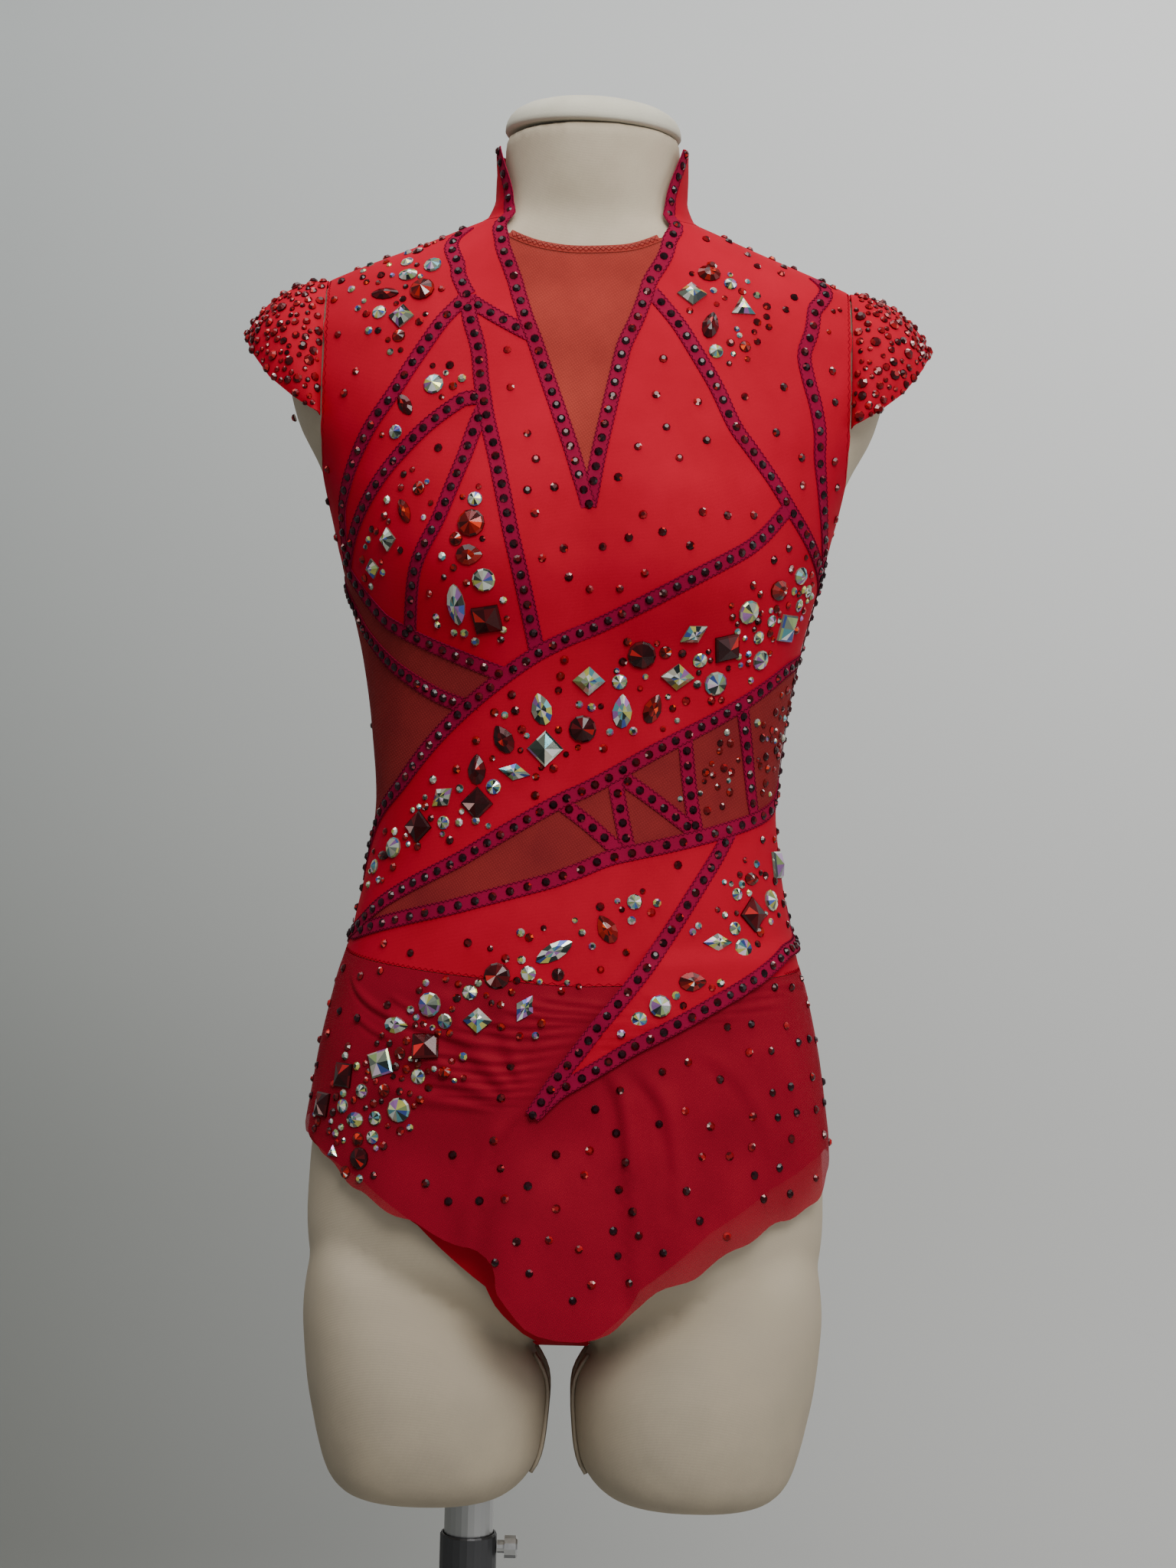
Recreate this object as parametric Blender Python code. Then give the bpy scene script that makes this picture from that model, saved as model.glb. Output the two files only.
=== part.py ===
# Rhythmic gymnastics leotard with a short skirt, worn by a limbless dress form on a pole stand.
# Units in this script are millimetres; every vertex is written to Blender in metres.
# +Z is up, the wearer's front faces -Y, and the floor is at height 0.
# A place on the body is a turn and a height: turn 0 is the centre front, 90 is the side seam at +X,
# -90 the side seam at -X, and 180 the centre back.
import math
from collections import namedtuple

import bmesh
import bpy
from mathutils import Vector, geometry

MM = 0.001
SEAM = 0.5              # half the space between two panels at a seam
CLOTH = 1.2             # wall of a panel
TAPE_BASE = 2.7         # underside of a tape above the body
TAPE = 1.1              # wall of a tape
TAPE_WIDTH = 9.0
TAPE_SPACE = 0.5        # space between two tapes where they meet
FORM_INSET = 2.8        # the form lies this far inside the cloth
ARMHOLE_X = 157.0       # the plane across the shoulder that the armhole lies in
NECK_SEAM = 1262.0
NECK_GAP = 0.2          # half the space at the neck seam
SKIRT_GAP = 0.2         # half the space at the skirt's side seams
BRIEF_GAP = 0.15        # half the space at the brief's side seams
COLLAR_TOP = 1309.0
COLLAR_EASE = 2.0
APPLIQUE_LIFT = 5.0     # the pointed front piece rises this far to pass over the skirt
HANG = 716.0            # below this height the skirt hangs straight
SKIRT_BASE = 3.2
PLAN = 2.2              # millimetres of cloth to one degree of turn

# Spacing of the points along edges and tapes and inside the panels
EDGE = 15.0
TAPE_STEP = 13.0
FINE_GRID = 16.0
COARSE_GRID = 24.0
ON_LINE = 0.02          # a point this close to a line lies on it

Section = namedtuple("Section", "height half_width front back centre squareness")
SECTIONS = [
    Section(582.5, 14, 10, 10, 4, 2.0),
    Section(585, 44, 26, 28, 4, 2.1),
    Section(592, 84, 48, 54, 4, 2.2),
    Section(604, 130, 68, 78, 3, 2.3),
    Section(620, 152, 80, 94, 2, 2.4),
    Section(640, 158, 86, 104, 0, 2.4),
    Section(660, 159.5, 89, 110, 0, 2.4),
    Section(690, 158.5, 91, 114, 0, 2.4),
    Section(720, 156, 92, 115, 0, 2.4),
    Section(757, 151, 91, 111, 0, 2.35),
    Section(799, 142, 89, 103, 0, 2.3),
    Section(837, 132.5, 86, 95, 0, 2.25),
    Section(879, 124.5, 83, 87, 0, 2.2),
    Section(912, 121, 82, 84, 0, 2.2),
    Section(954, 124.5, 84, 84, 0, 2.2),
    Section(996, 131, 88, 86, 0, 2.2),
    Section(1028, 138.5, 92, 90, 0, 2.2),
    Section(1060, 147, 96, 94, 0, 2.2),
    Section(1094, 156, 97, 98, 1, 2.15),
    Section(1115, 165, 95, 99, 2, 2.1),
    Section(1140, 178, 91, 98, 3, 2.1),
    Section(1165, 184, 86, 96, 4, 2.1),
    Section(1190, 184, 80, 93, 5, 2.1),
    Section(1210, 177, 73, 89, 6, 2.05),
    Section(1222, 167, 68, 86, 6, 2.0),
    Section(1231, 149, 65, 83, 6, 2.0),
    Section(1240, 127, 62, 80, 6, 2.0),
    Section(1248, 106, 59, 76, 5, 2.0),
    Section(1257, 84, 56, 69, 4, 2.0),
    Section(1266, 62, 54, 62, 2, 2.0),
    Section(1280, 55.5, 55.5, 56.5, 0, 2.0),
    Section(1300, 55.5, 55.5, 55.5, -3, 2.0),
    Section(1319, 55.5, 55.5, 55.5, -6, 2.0),
]
BODY_BOTTOM = SECTIONS[0].height
BODY_TOP = SECTIONS[-1].height

Cup = namedtuple("Cup", "across height lift wide above below")
CUP = Cup(across=66, height=1046, lift=17, wide=40, above=52, below=30)

# The thigh stumps narrow upwards, so that they end inside the body under the brief
Thigh = namedtuple("Thigh", "height across half_width front back")
THIGH = [
    Thigh(490, 82, 38, 42, 50),
    Thigh(494, 80.5, 50, 60, 71),
    Thigh(503, 79.5, 60, 70, 83),
    Thigh(515, 78.5, 66, 75, 89),
    Thigh(537, 79.5, 70.5, 79, 94),
    Thigh(560, 81.5, 73, 80, 96),
    Thigh(590, 91.5, 66, 77, 92),
    Thigh(605, 99, 59, 74, 86),
    Thigh(625, 107, 49, 70, 82),
    Thigh(650, 114, 37, 58, 70),
]

# Centre lines of the tapes as (turn, height), in the order they are laid; an earlier tape is whole
# and a later one stops against it
TAPES = {
    "v_left": [(-76, 1306), (-63, 1288), (-54, 1271), (-43, 1260), (-28, 1246), (-16, 1224), (-9, 1184), (1, 1084)],
    "v_right": [(72, 1306), (59, 1288), (51, 1272), (42, 1261), (27, 1249), (18, 1235), (12, 1220), (6, 1180), (1, 1084)],
    "strap_left": [(-57, 1256), (-51, 1249), (-38, 1238), (-31, 1230), (-27, 1221), (-23, 1210)],
    "bust_left": [(-23, 1210), (-35, 1158), (-44, 1134), (-68, 1085), (-74, 1052), (-70, 1041),
                  (-55, 1017), (-18, 987)],
    "sash_top": [(49, 1088), (43, 1072), (37, 1061), (-9, 999), (-55, 924), (-76, 898), (-92, 864)],
    "sash_bottom": [(92, 1005), (68, 994), (35, 961), (17, 941), (-29, 879), (-58, 851), (-75, 834),
                    (-92, 827)],
    "waist_bottom": [(-87, 834), (-73, 831), (-32, 849), (-5, 867), (9, 882), (45, 899), (74, 912), (93, 929)],
    "princess_left": [(-23, 1210), (-19, 1175), (-17, 1110), (-9, 1000)],
    "cross_left": [(-23, 1208), (-8, 1183)],
    "arc_outer": [(-17, 1146), (-22, 1146), (-54, 1088), (-73, 1052)],
    "arc_inner": [(-18, 1142), (-31, 1076), (-40, 1046), (-46, 1008)],
    "bust_right": [(12, 1214), (24, 1154), (30, 1130), (50, 1089), (68, 1064), (92, 1042)],
    "side_right": [(67, 1232), (49, 1210), (44, 1189), (43, 1179), (45, 1161), (54, 1123), (73, 1073),
                   (88, 1045), (90, 1002), (90, 929)],
    "under_bust": [(-92, 1044), (-78, 1027), (-70, 1011), (-56, 992), (-38, 974), (-26, 966)],
    "point_left": [(47, 899), (27, 850), (5, 785), (-5, 731)],
    "point_right": [(93, 854), (88, 833), (66, 826), (34, 799), (12, 773), (1, 752), (-5, 731)],
    "waist_1": [(-4, 915), (11, 884)],
    "waist_2": [(9, 928), (13, 884)],
    "waist_3": [(9, 931), (36, 893)],
    "waist_4": [(28, 954), (34, 893)],
    "waist_5": [(47, 975), (60, 906)],
}
# Tapes that only lie on a panel; the others also cover a seam between two panels
LAID_ON = {"strap_left", "princess_left", "cross_left", "arc_outer", "arc_inner", "side_right",
           "waist_1", "waist_2", "waist_3"}
BUST_SEAM_FROM = 3      # the bust tapes cover a seam only from about this point of their lines
NECK_LINE = [(-28, 1250), (-15, 1243), (-6, 1240), (2, 1240), (11, 1242), (23, 1249)]
BINDING_WIDTH = 4.0
HIP_LINE = [(-180, 816), (-90, 821), (-71, 818), (0, 806), (90, 815), (180, 816)]
HEM_FRONT = [(-90, 717), (-76, 711), (-65, 706), (-56, 695), (-46, 682), (-30, 668), (-16, 653), (-11, 645),
             (-10, 629), (-5, 611), (2, 603), (7, 606), (11, 619), (16, 630), (24, 641), (36, 658), (49, 669),
             (61, 677), (70, 689), (80, 698), (90, 703)]
LEG_FRONT = [(9, 591), (10, 606), (13, 630), (28, 664), (46, 689), (64, 702), (90, 712)]
LEG_BACK = [(13, 591), (18, 604), (32, 628), (52, 662), (72, 692), (90, 712)]

# A point inside each panel of the front picks it out of what the seams cut
PANEL_SEEDS = {
    "neck_mesh": (3, 1205),
    "bodice_front": (-30, 1110),
    "under_bust_mesh": (-50, 1003),
    "side_mesh": (-72, 960),
    "sash": (0, 960),
    "waist_mesh": (-20, 872),
    "waist_panel": (43, 930),
    "waist_side_panel": (70, 950),
    "hip_left": (-20, 830),
    "hip_right": (75, 818),
}

# Large flat-backed stones of 12 mm and more, raised in the outer face of their panel
Stone = namedtuple("Stone", "cut colour turn height length width lean")
STONES = [
    Stone("round", "red", -34, 1214, 15, 15, 0),
    Stone("lozenge", "clear", -36, 1197, 16, 16, 0),
    Stone("round", "clear", -28, 1155, 12, 12, 0),
    Stone("navette", "dark", -35, 1143, 15, 8, -55),
    Stone("navette", "red", -41, 1080, 16, 8, -60),
    Stone("lozenge", "clear", -48, 1064, 14, 14, 0),
    Stone("lozenge", "clear", -57, 1048, 14, 12, 0),
    Stone("round", "red", -23, 1072, 16, 16, 0),
    Stone("drop", "red", -24, 1054, 16, 12, 0),
    Stone("round", "clear", -21, 1040, 13.5, 13.5, 0),
    Stone("navette", "clear", -29, 1026, 25, 11, 90),
    Stone("square", "dark", -21, 1018, 16, 16, 10),
    Stone("oval", "red", 27, 1228, 14, 11, 0),
    Stone("lozenge", "clear", 20, 1214, 18, 16, 0),
    Stone("trilliant", "clear", 30, 1208, 14, 14, 0),
    Stone("drop", "dark", 22, 1195, 18, 10, 75),
    Stone("oval", "red", 53, 1041, 16, 12, 0),
    Stone("round", "clear", 43, 1027, 14.4, 14.4, 0),
    Stone("square", "clear", 62, 1020, 16, 16, 0),
    Stone("lozenge", "clear", 27, 1013, 18, 12, 35),
    Stone("square", "dark", 38, 1006, 15.5, 15.5, 15),
    Stone("round", "clear", 52, 1000, 12, 12, 0),
    Stone("round", "dark", 14, 1000, 16.5, 16.5, 0),
    Stone("lozenge", "clear", 24, 988, 20, 16, 0),
    Stone("round", "clear", 36, 985, 14.4, 14.4, 0),
    Stone("lozenge", "clear", 2, 984, 19, 17, 0),
    Stone("drop", "red", 18, 969, 18, 10.5, 70),
    Stone("drop", "clear", 10, 967, 20, 11.5, 90),
    Stone("drop", "clear", -8, 967, 19, 12, 105),
    Stone("round", "dark", 1, 956, 16, 16, 0),
    Stone("drop", "dark", -18, 949, 18, 11.5, 120),
    Stone("square", "clear", -7, 944, 15, 15, 45),
    Stone("lozenge", "clear", -15, 930, 19, 10, -10),
    Stone("drop", "dark", -26, 931, 18, 11, 90),
    Stone("lozenge", "clear", -38, 914, 17, 12, 40),
    Stone("square", "dark", -26, 911, 14, 14, 45),
    Stone("square", "dark", -47, 896, 14, 14, 45),
    Stone("round", "clear", -58, 883, 12.5, 12.5, 0),
    Stone("square", "clear", 76, 878, 16, 16, 0),
    Stone("round", "clear", 65, 857, 13, 13, 0),
    Stone("square", "dark", 53, 849, 15, 15, 45),
    Stone("round", "clear", 46, 829, 12.5, 12.5, 0),
    Stone("drop", "red", 7, 840, 18, 11, 120),
    Stone("navette", "clear", -3, 826, 24, 10, 30),
    Stone("round", "clear", -31, 793, 14.4, 14.4, 0),
    Stone("lozenge", "clear", -8, 793, 18, 11, 60),
    Stone("lozenge", "clear", -18, 785, 17, 15, 0),
    Stone("square", "dark", -30, 769, 15.5, 15.5, 5),
    Stone("square", "clear", -43, 757, 14.5, 14.5, 20),
    Stone("square", "dark", -57, 748, 14, 14, 0),
    Stone("round", "clear", -35, 731, 14.4, 14.4, 0),
    Stone("square", "dark", -66, 729, 14, 14, 0),
    Stone("round", "dark", -46, 701, 13, 13, 0),
]
STONE_REACH = 30        # further than any stone is long
STONE_RISE = 3.0
STONE_TABLE = 0.55      # width of a stone's flat top over its whole width

# Soft ridges and hollows of the skirt: their turns at the hem and where they start, width and depth
Flounce = namedtuple("Flounce", "turn start width depth")
FLOUNCES = [
    Flounce(-9, -5, 6, 7), Flounce(1, 1, 9, 5), Flounce(11, 7, 3, -2), Flounce(21, 18, 6, 5),
    Flounce(38, 36, 7, 3), Flounce(-38, -38, 9, 3), Flounce(68, 68, 9, 4), Flounce(-70, -70, 10, 4),
    Flounce(112, 112, 10, 5), Flounce(146, 146, 10, 6), Flounce(178, 178, 9, 5),
    Flounce(-150, -150, 10, 6), Flounce(-118, -118, 10, 5),
]

SLEEVE_FOOT = 1140.0    # where the sleeve's seam ends at the front and back of the armhole
SLEEVE_TOP = 1225.0
SLEEVE_SPACE = 1.4      # from the armhole's edge to the sleeve
SLEEVE_BULGE = 9.0
SLEEVE_MIDDLE = Vector((150, 8, 1160))

POLE_X = -54.0
POLE_RADIUS = 15.0
POLE_BOTTOM = 250.0
POLE_TOP = 560.0
TUBE_BORE = 15.7
TUBE_RADIUS = 17.4
TUBE_TOP = 464.5
BASE_RADIUS = 145.0
BASE_THICKNESS = 8.0
SCREW_HEIGHT = 456.0


def clear_scene():
    for item in list(bpy.data.objects):
        bpy.data.objects.remove(item, do_unlink=True)


def smoothstep(low, high, value):
    t = min(1.0, max(0.0, (value - low) / (high - low)))
    return t * t * (3 - 2 * t)


def along(line, value, key=0):
    """The other coordinate of a line of pairs at a given turn (key 0) or height (key 1)."""
    pairs = sorted(line, key=lambda point: point[key])
    if value <= pairs[0][key]:
        return pairs[0][1 - key]
    for low, high in zip(pairs, pairs[1:]):
        if value <= high[key]:
            t = (value - low[key]) / max(high[key] - low[key], 1e-6)
            return low[1 - key] + (high[1 - key] - low[1 - key]) * t
    return pairs[-1][1 - key]


def rate(rows, index, column):
    """Slope of one column of a table of sections, level at every high and low."""
    low = rows[max(index - 1, 0)]
    here = rows[index]
    high = rows[min(index + 1, len(rows) - 1)]
    if low is here or high is here:
        return (high[column] - low[column]) / (high.height - low.height)
    below = (here[column] - low[column]) / (here.height - low.height)
    above = (high[column] - here[column]) / (high.height - here.height)
    if below * above <= 0:
        return 0.0
    return 2 * below * above / (below + above)


def section_at(height):
    height = min(max(height, BODY_BOTTOM), BODY_TOP)
    index = 0
    while index < len(SECTIONS) - 2 and SECTIONS[index + 1].height <= height:
        index += 1
    low, high = SECTIONS[index], SECTIONS[index + 1]
    span = high.height - low.height
    t = (height - low.height) / span
    values = [height]
    for column in range(1, len(low)):
        start = rate(SECTIONS, index, column) * span
        end = rate(SECTIONS, index + 1, column) * span
        values.append((2 * t**3 - 3 * t**2 + 1) * low[column] + (t**3 - 2 * t**2 + t) * start
                      + (3 * t**2 - 2 * t**3) * high[column] + (t**3 - t**2) * end)
    return Section(*values)


def cup_lift(x, height):
    rise = height - CUP.height
    reach = CUP.above if rise > 0 else CUP.below
    return CUP.lift * math.exp(-((abs(x) - CUP.across) / CUP.wide)**2 / 2 - (rise / reach)**2 / 2)


def skin(turn, height, shape_height=None):
    """A point of the body; shape_height takes its section from another height."""
    shape = section_at(height if shape_height is None else shape_height)
    side = math.sin(math.radians(turn))
    ahead = math.cos(math.radians(turn))
    power = 2 / shape.squareness
    x = shape.half_width * math.copysign(abs(side)**power, side)
    if ahead >= 0:
        y = shape.centre - shape.front * ahead**power - cup_lift(x, shape.height) * min(1, ahead * 1.6)
    else:
        y = shape.centre + shape.back * abs(ahead)**power
    return Vector((x, y, height))


def outward(turn, height):
    step = 0.5
    across = skin(turn + step, height) - skin(turn - step, height)
    up = skin(turn, min(height + step, BODY_TOP)) - skin(turn, max(height - step, BODY_BOTTOM))
    return across.cross(up).normalized()


def ease(height):
    """The collar stands off the neck by this much."""
    return COLLAR_EASE * smoothstep(NECK_SEAM - 6, NECK_SEAM + 14, height)


def cloth(turn, height, out):
    return skin(turn, height) + outward(turn, height) * (out + ease(height))


def hip_height(turn):
    return along(HIP_LINE, (turn + 180) % 360 - 180)


def over_skirt(turn, height, out):
    """Like cloth, lifted below the hip seam so that it passes over the skirt."""
    hip = along(HIP_LINE, turn)
    return cloth(turn, height, out + APPLIQUE_LIFT * (1 - smoothstep(hip + 9, hip + 24, height)))


def hanging(turn, height, out):
    """The skirt: on the hip at its seam, then hanging straight from the fullest part."""
    level = max(height, HANG)
    across = skin(turn + 0.5, level) - skin(turn - 0.5, level)
    away = across.cross(Vector((0, 0, 1))).normalized()
    return skin(turn, height, level) + away * (out + SKIRT_BASE + flare(turn, height))


def flare(turn, height):
    hip = along(HIP_LINE, turn)
    drop = hip - height
    lift = 4.0 * smoothstep(75, 170, drop)
    for fold in FLOUNCES:
        here = fold.turn + (fold.start - fold.turn) * smoothstep(640, 740, height)
        away = (turn - here + 180) % 360 - 180
        lift += fold.depth * math.exp(-(away / fold.width)**2) * smoothstep(80, 150, drop)
    return lift + gathers(turn, height)


def gathers(turn, height):
    """Small folds that fan out from the tip of the pointed front piece towards the left hip."""
    tip_turn, tip_height = TAPES["point_left"][-1]
    across = (tip_turn - turn) * PLAN
    up = height - tip_height
    reach = math.hypot(across, up)
    angle = math.degrees(math.atan2(up, across))
    beside = smoothstep(3, 9, along(TAPES["point_left"], height, 1) - turn)
    fade = smoothstep(12, 30, reach) * (1 - smoothstep(70, 110, reach))
    fan = smoothstep(0, 12, angle) * (1 - smoothstep(70, 84, angle))
    below_seam = smoothstep(6, 14, along(HIP_LINE, turn) - height)
    return 1.1 * (1 + math.sin(math.radians(angle * 15))) * beside * fade * fan * below_seam


def smooth_line(points, step):
    """A curve through the points in plan millimetres, sampled about every step."""
    flat = [Vector((turn * PLAN, height)) for turn, height in points]
    ends = [flat[0] * 2 - flat[1]] + flat + [flat[-1] * 2 - flat[-2]]
    line = []
    for a, b, c, d in zip(ends, ends[1:], ends[2:], ends[3:]):
        count = max(1, round((c - b).length / step))
        pull = min((b - a).length, (c - b).length, (d - c).length)
        start = (c - a).normalized() * pull
        end = (d - b).normalized() * pull
        for index in range(count):
            t = index / count
            line.append(b * (2 * t**3 - 3 * t**2 + 1) + start * (t**3 - 2 * t**2 + t)
                        + c * (3 * t**2 - 2 * t**3) + end * (t**3 - t**2))
    return line + [flat[-1]]


def stretch(point):
    """How true millimetres along the body change with plan millimetres, as the three products."""
    turn, height = point.x / PLAN, point.y
    step = 0.5
    across = (skin(turn + step, height) - skin(turn - step, height)) / PLAN
    up = skin(turn, min(height + step, BODY_TOP)) - skin(turn, max(height - step, BODY_BOTTOM))
    return across.dot(across), across.dot(up), up.dot(up)


def aside_of(point, ahead):
    """The plan vector that is one true millimetre long and square to a direction on the body."""
    aa, ab, bb = stretch(point)
    share = aa * bb - ab * ab
    normal = Vector((-ahead.y, ahead.x))
    square = Vector(((bb * normal.x - ab * normal.y) / share, (aa * normal.y - ab * normal.x) / share))
    return square / math.sqrt(square.dot(normal))


def strip(line, half_width, beyond=0.0):
    """The outline of a band of even width along a plan line."""
    left, right = [], []
    last = len(line) - 1
    for index, point in enumerate(line):
        ahead = (line[min(index + 1, last)] - line[max(index - 1, 0)]).normalized()
        aside = aside_of(point, ahead) * half_width
        reach = ahead * (beyond if index == last else -beyond if index == 0 else 0)
        left.append(point + aside + reach)
        right.append(point - aside + reach)
    return left + right[::-1]


def inside(point, outline):
    """True where the outline winds round the point, also where the outline overlaps itself."""
    winding = 0
    for a, b in zip(outline, outline[1:] + outline[:1]):
        if (a.y <= point.y) != (b.y <= point.y):
            side = (b.x - a.x) * (point.y - a.y) - (point.x - a.x) * (b.y - a.y)
            if b.y > a.y and side > 0:
                winding += 1
            elif b.y <= a.y and side < 0:
                winding -= 1
    return winding != 0


def near(point, outlines, room):
    for outline in outlines:
        for a, b in zip(outline, outline[1:] + outline[:1]):
            side = b - a
            t = max(0.0, min(1.0, (point - a).dot(side) / max(side.length_squared, 1e-9)))
            if (a + side * t - point).length < room:
                return True
    return False


def grid_points(outline, others, step):
    """Spare points that keep the triangles small, clear of every line."""
    low_x, high_x = min(p.x for p in outline), max(p.x for p in outline)
    low_y, high_y = min(p.y for p in outline), max(p.y for p in outline)
    points = []
    y = low_y + step / 2
    row = 0
    while y < high_y:
        x = low_x + step * (0.25 if row % 2 else 0.75)
        while x < high_x:
            point = Vector((x, y))
            if inside(point, outline) and not near(point, [outline] + others, step * 0.45):
                points.append(point)
            x += step
        y += step * (0.86 if y < 1195 else 0.5)
        row += 1
    return points


def triangulate(outlines, spare):
    """Triangles that keep every outline, and for each triangle the outlines it lies in."""
    points = []
    edges = []
    for outline in outlines:
        first = len(points)
        count = len(outline)
        edges.extend((first + index, first + (index + 1) % count) for index in range(count))
        points.extend(outline)
    points.extend(spare)
    flat, _, triangles, _, _, _ = geometry.delaunay_2d_cdt(points, edges, [], 0, 0.02, False)
    triangles = [triangle for triangle in triangles if size(flat, triangle) > 1e-3]
    owners = []
    for triangle in triangles:
        middle = (flat[triangle[0]] + flat[triangle[1]] + flat[triangle[2]]) / 3
        owners.append({index for index, outline in enumerate(outlines) if inside(middle, outline)})
    return flat, triangles, owners


def patches(triangles):
    """Groups of triangles that share edges."""
    by_edge = {}
    for index, triangle in enumerate(triangles):
        for a, b in zip(triangle, triangle[1:] + triangle[:1]):
            by_edge.setdefault((min(a, b), max(a, b)), []).append(index)
    beside = {index: [] for index in range(len(triangles))}
    for pair in by_edge.values():
        if len(pair) == 2:
            beside[pair[0]].append(pair[1])
            beside[pair[1]].append(pair[0])
    groups = []
    left = set(beside)
    while left:
        stack = [left.pop()]
        group = []
        while stack:
            index = stack.pop()
            group.append(index)
            for other in beside[index]:
                if other in left:
                    left.remove(other)
                    stack.append(other)
        groups.append([triangles[index] for index in group])
    return groups


def place(object_name, vertices, faces, material):
    """Makes one closed object from points in millimetres."""
    mesh = bpy.data.meshes.new(object_name)
    mesh.from_pydata([tuple(point * MM) for point in vertices], [], faces)
    builder = bmesh.new()
    builder.from_mesh(mesh)
    bmesh.ops.recalc_face_normals(builder, faces=builder.faces)
    builder.to_mesh(mesh)
    builder.free()
    mesh.materials.append(material)
    item = bpy.data.objects.new(object_name, mesh)
    COLLECTION.objects.link(item)
    return item


def wall_from(object_name, flat, triangles, surface, base, thickness, material, rises=None):
    """A closed wall on a surface from a flat pattern; rises lifts single outer points."""
    used = sorted({corner for triangle in triangles for corner in triangle})
    order = {corner: index for index, corner in enumerate(used)}
    count = len(used)
    rises = rises or {}
    vertices = [surface(flat[c].x / PLAN, flat[c].y, base) for c in used]
    vertices += [surface(flat[c].x / PLAN, flat[c].y, base + thickness + rises.get(c, 0)) for c in used]
    faces = []
    edges = {}
    for triangle in triangles:
        a, b, c = (order[corner] for corner in triangle)
        faces.append((c, b, a))
        faces.append((a + count, b + count, c + count))
        for start, end in ((a, b), (b, c), (c, a)):
            edges[(start, end)] = edges.get((start, end), 0) + 1
    for start, end in edges:
        if (end, start) not in edges:
            faces.append((start, end, end + count, start + count))
    return place(object_name, vertices, faces, material)


def grid_wall(object_name, inner, outer, material, wrap=False):
    """A closed wall between two grids of points with the same rows."""
    rows, columns = len(inner), len(inner[0])
    vertices = [point for row in inner for point in row] + [point for row in outer for point in row]
    half = rows * columns
    faces = []
    for r in range(rows - 1):
        for c in range(columns if wrap else columns - 1):
            a, b = r * columns + c, r * columns + (c + 1) % columns
            faces.append((a, b, b + columns, a + columns))
            faces.append((half + a + columns, half + b + columns, half + b, half + a))
    for r, edge_row in ((0, 0), (1, rows - 1)):
        for c in range(columns if wrap else columns - 1):
            a, b = edge_row * columns + c, edge_row * columns + (c + 1) % columns
            faces.append((b, a, half + a, half + b) if r == 0 else (a, b, half + b, half + a))
    if not wrap:
        for r in range(rows - 1):
            for edge_column in (0, columns - 1):
                a = r * columns + edge_column
                b = a + columns
                faces.append((a, b, half + b, half + a) if edge_column == 0 else (b, a, half + a, half + b))
    return place(object_name, vertices, faces, material)


def make_material(label, colour, roughness, metallic=0.0):
    material = bpy.data.materials.new(label)
    material.use_nodes = True
    shader = material.node_tree.nodes["Principled BSDF"]
    shader.inputs["Base Color"].default_value = (*colour, 1.0)
    shader.inputs["Roughness"].default_value = roughness
    shader.inputs["Metallic"].default_value = metallic
    material.diffuse_color = (*colour, 1.0)
    return material


def stone_outline(stone):
    """The girdle of a stone in plan millimetres."""
    corners = {"round": 6, "oval": 6, "drop": 5, "navette": 6, "square": 4, "lozenge": 4, "trilliant": 3}
    count = corners[stone.cut]
    lean = math.radians(stone.lean)
    centre = Vector((stone.turn * PLAN, stone.height))
    aa, _, bb = stretch(Vector((centre.x, max(centre.y, HANG))))
    outline = []
    for index in range(count):
        angle = 2 * math.pi * index / count
        if stone.cut == "square":
            angle += math.pi / 4
        if stone.cut == "trilliant":
            angle += math.pi / 2
        u = math.cos(angle) * stone.length / 2
        v = math.sin(angle) * stone.width / 2
        if stone.cut == "square":
            u, v = u * math.sqrt(2) * 0.94, v * math.sqrt(2) * 0.94
        if stone.cut == "navette":
            v *= 0.95
        if stone.cut == "drop" and index > 0:
            u = u * 0.8 - stone.length * 0.1
        across = (u * math.cos(lean) - v * math.sin(lean)) / math.sqrt(aa)
        up = (u * math.sin(lean) + v * math.cos(lean)) / math.sqrt(bb)
        outline.append(centre + Vector((across, up)))
    return outline


def stone_rings(stone):
    """The girdle of a stone and the smaller outline of its table."""
    girdle = stone_outline(stone)
    centre = Vector((stone.turn * PLAN, stone.height))
    table = [centre + (point - centre) * STONE_TABLE for point in girdle]
    return girdle, table


def rises_in(flat, tables):
    """How far each point of a stone's table stands above the cloth."""
    rises = {}
    for index, point in enumerate(flat):
        reach = [table for table in tables if (point - table[0]).length < STONE_REACH]
        if near(point, reach, ON_LINE):
            rises[index] = STONE_RISE
    return rises


def armhole_turn(height):
    """Turn where the armhole plane cuts the front of the body; 90 outside its reach."""
    shape = section_at(height)
    share = ARMHOLE_X / shape.half_width
    if share >= 1 or height < 1080:
        return 90.0
    return math.degrees(math.asin(share**(shape.squareness / 2)))


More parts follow.
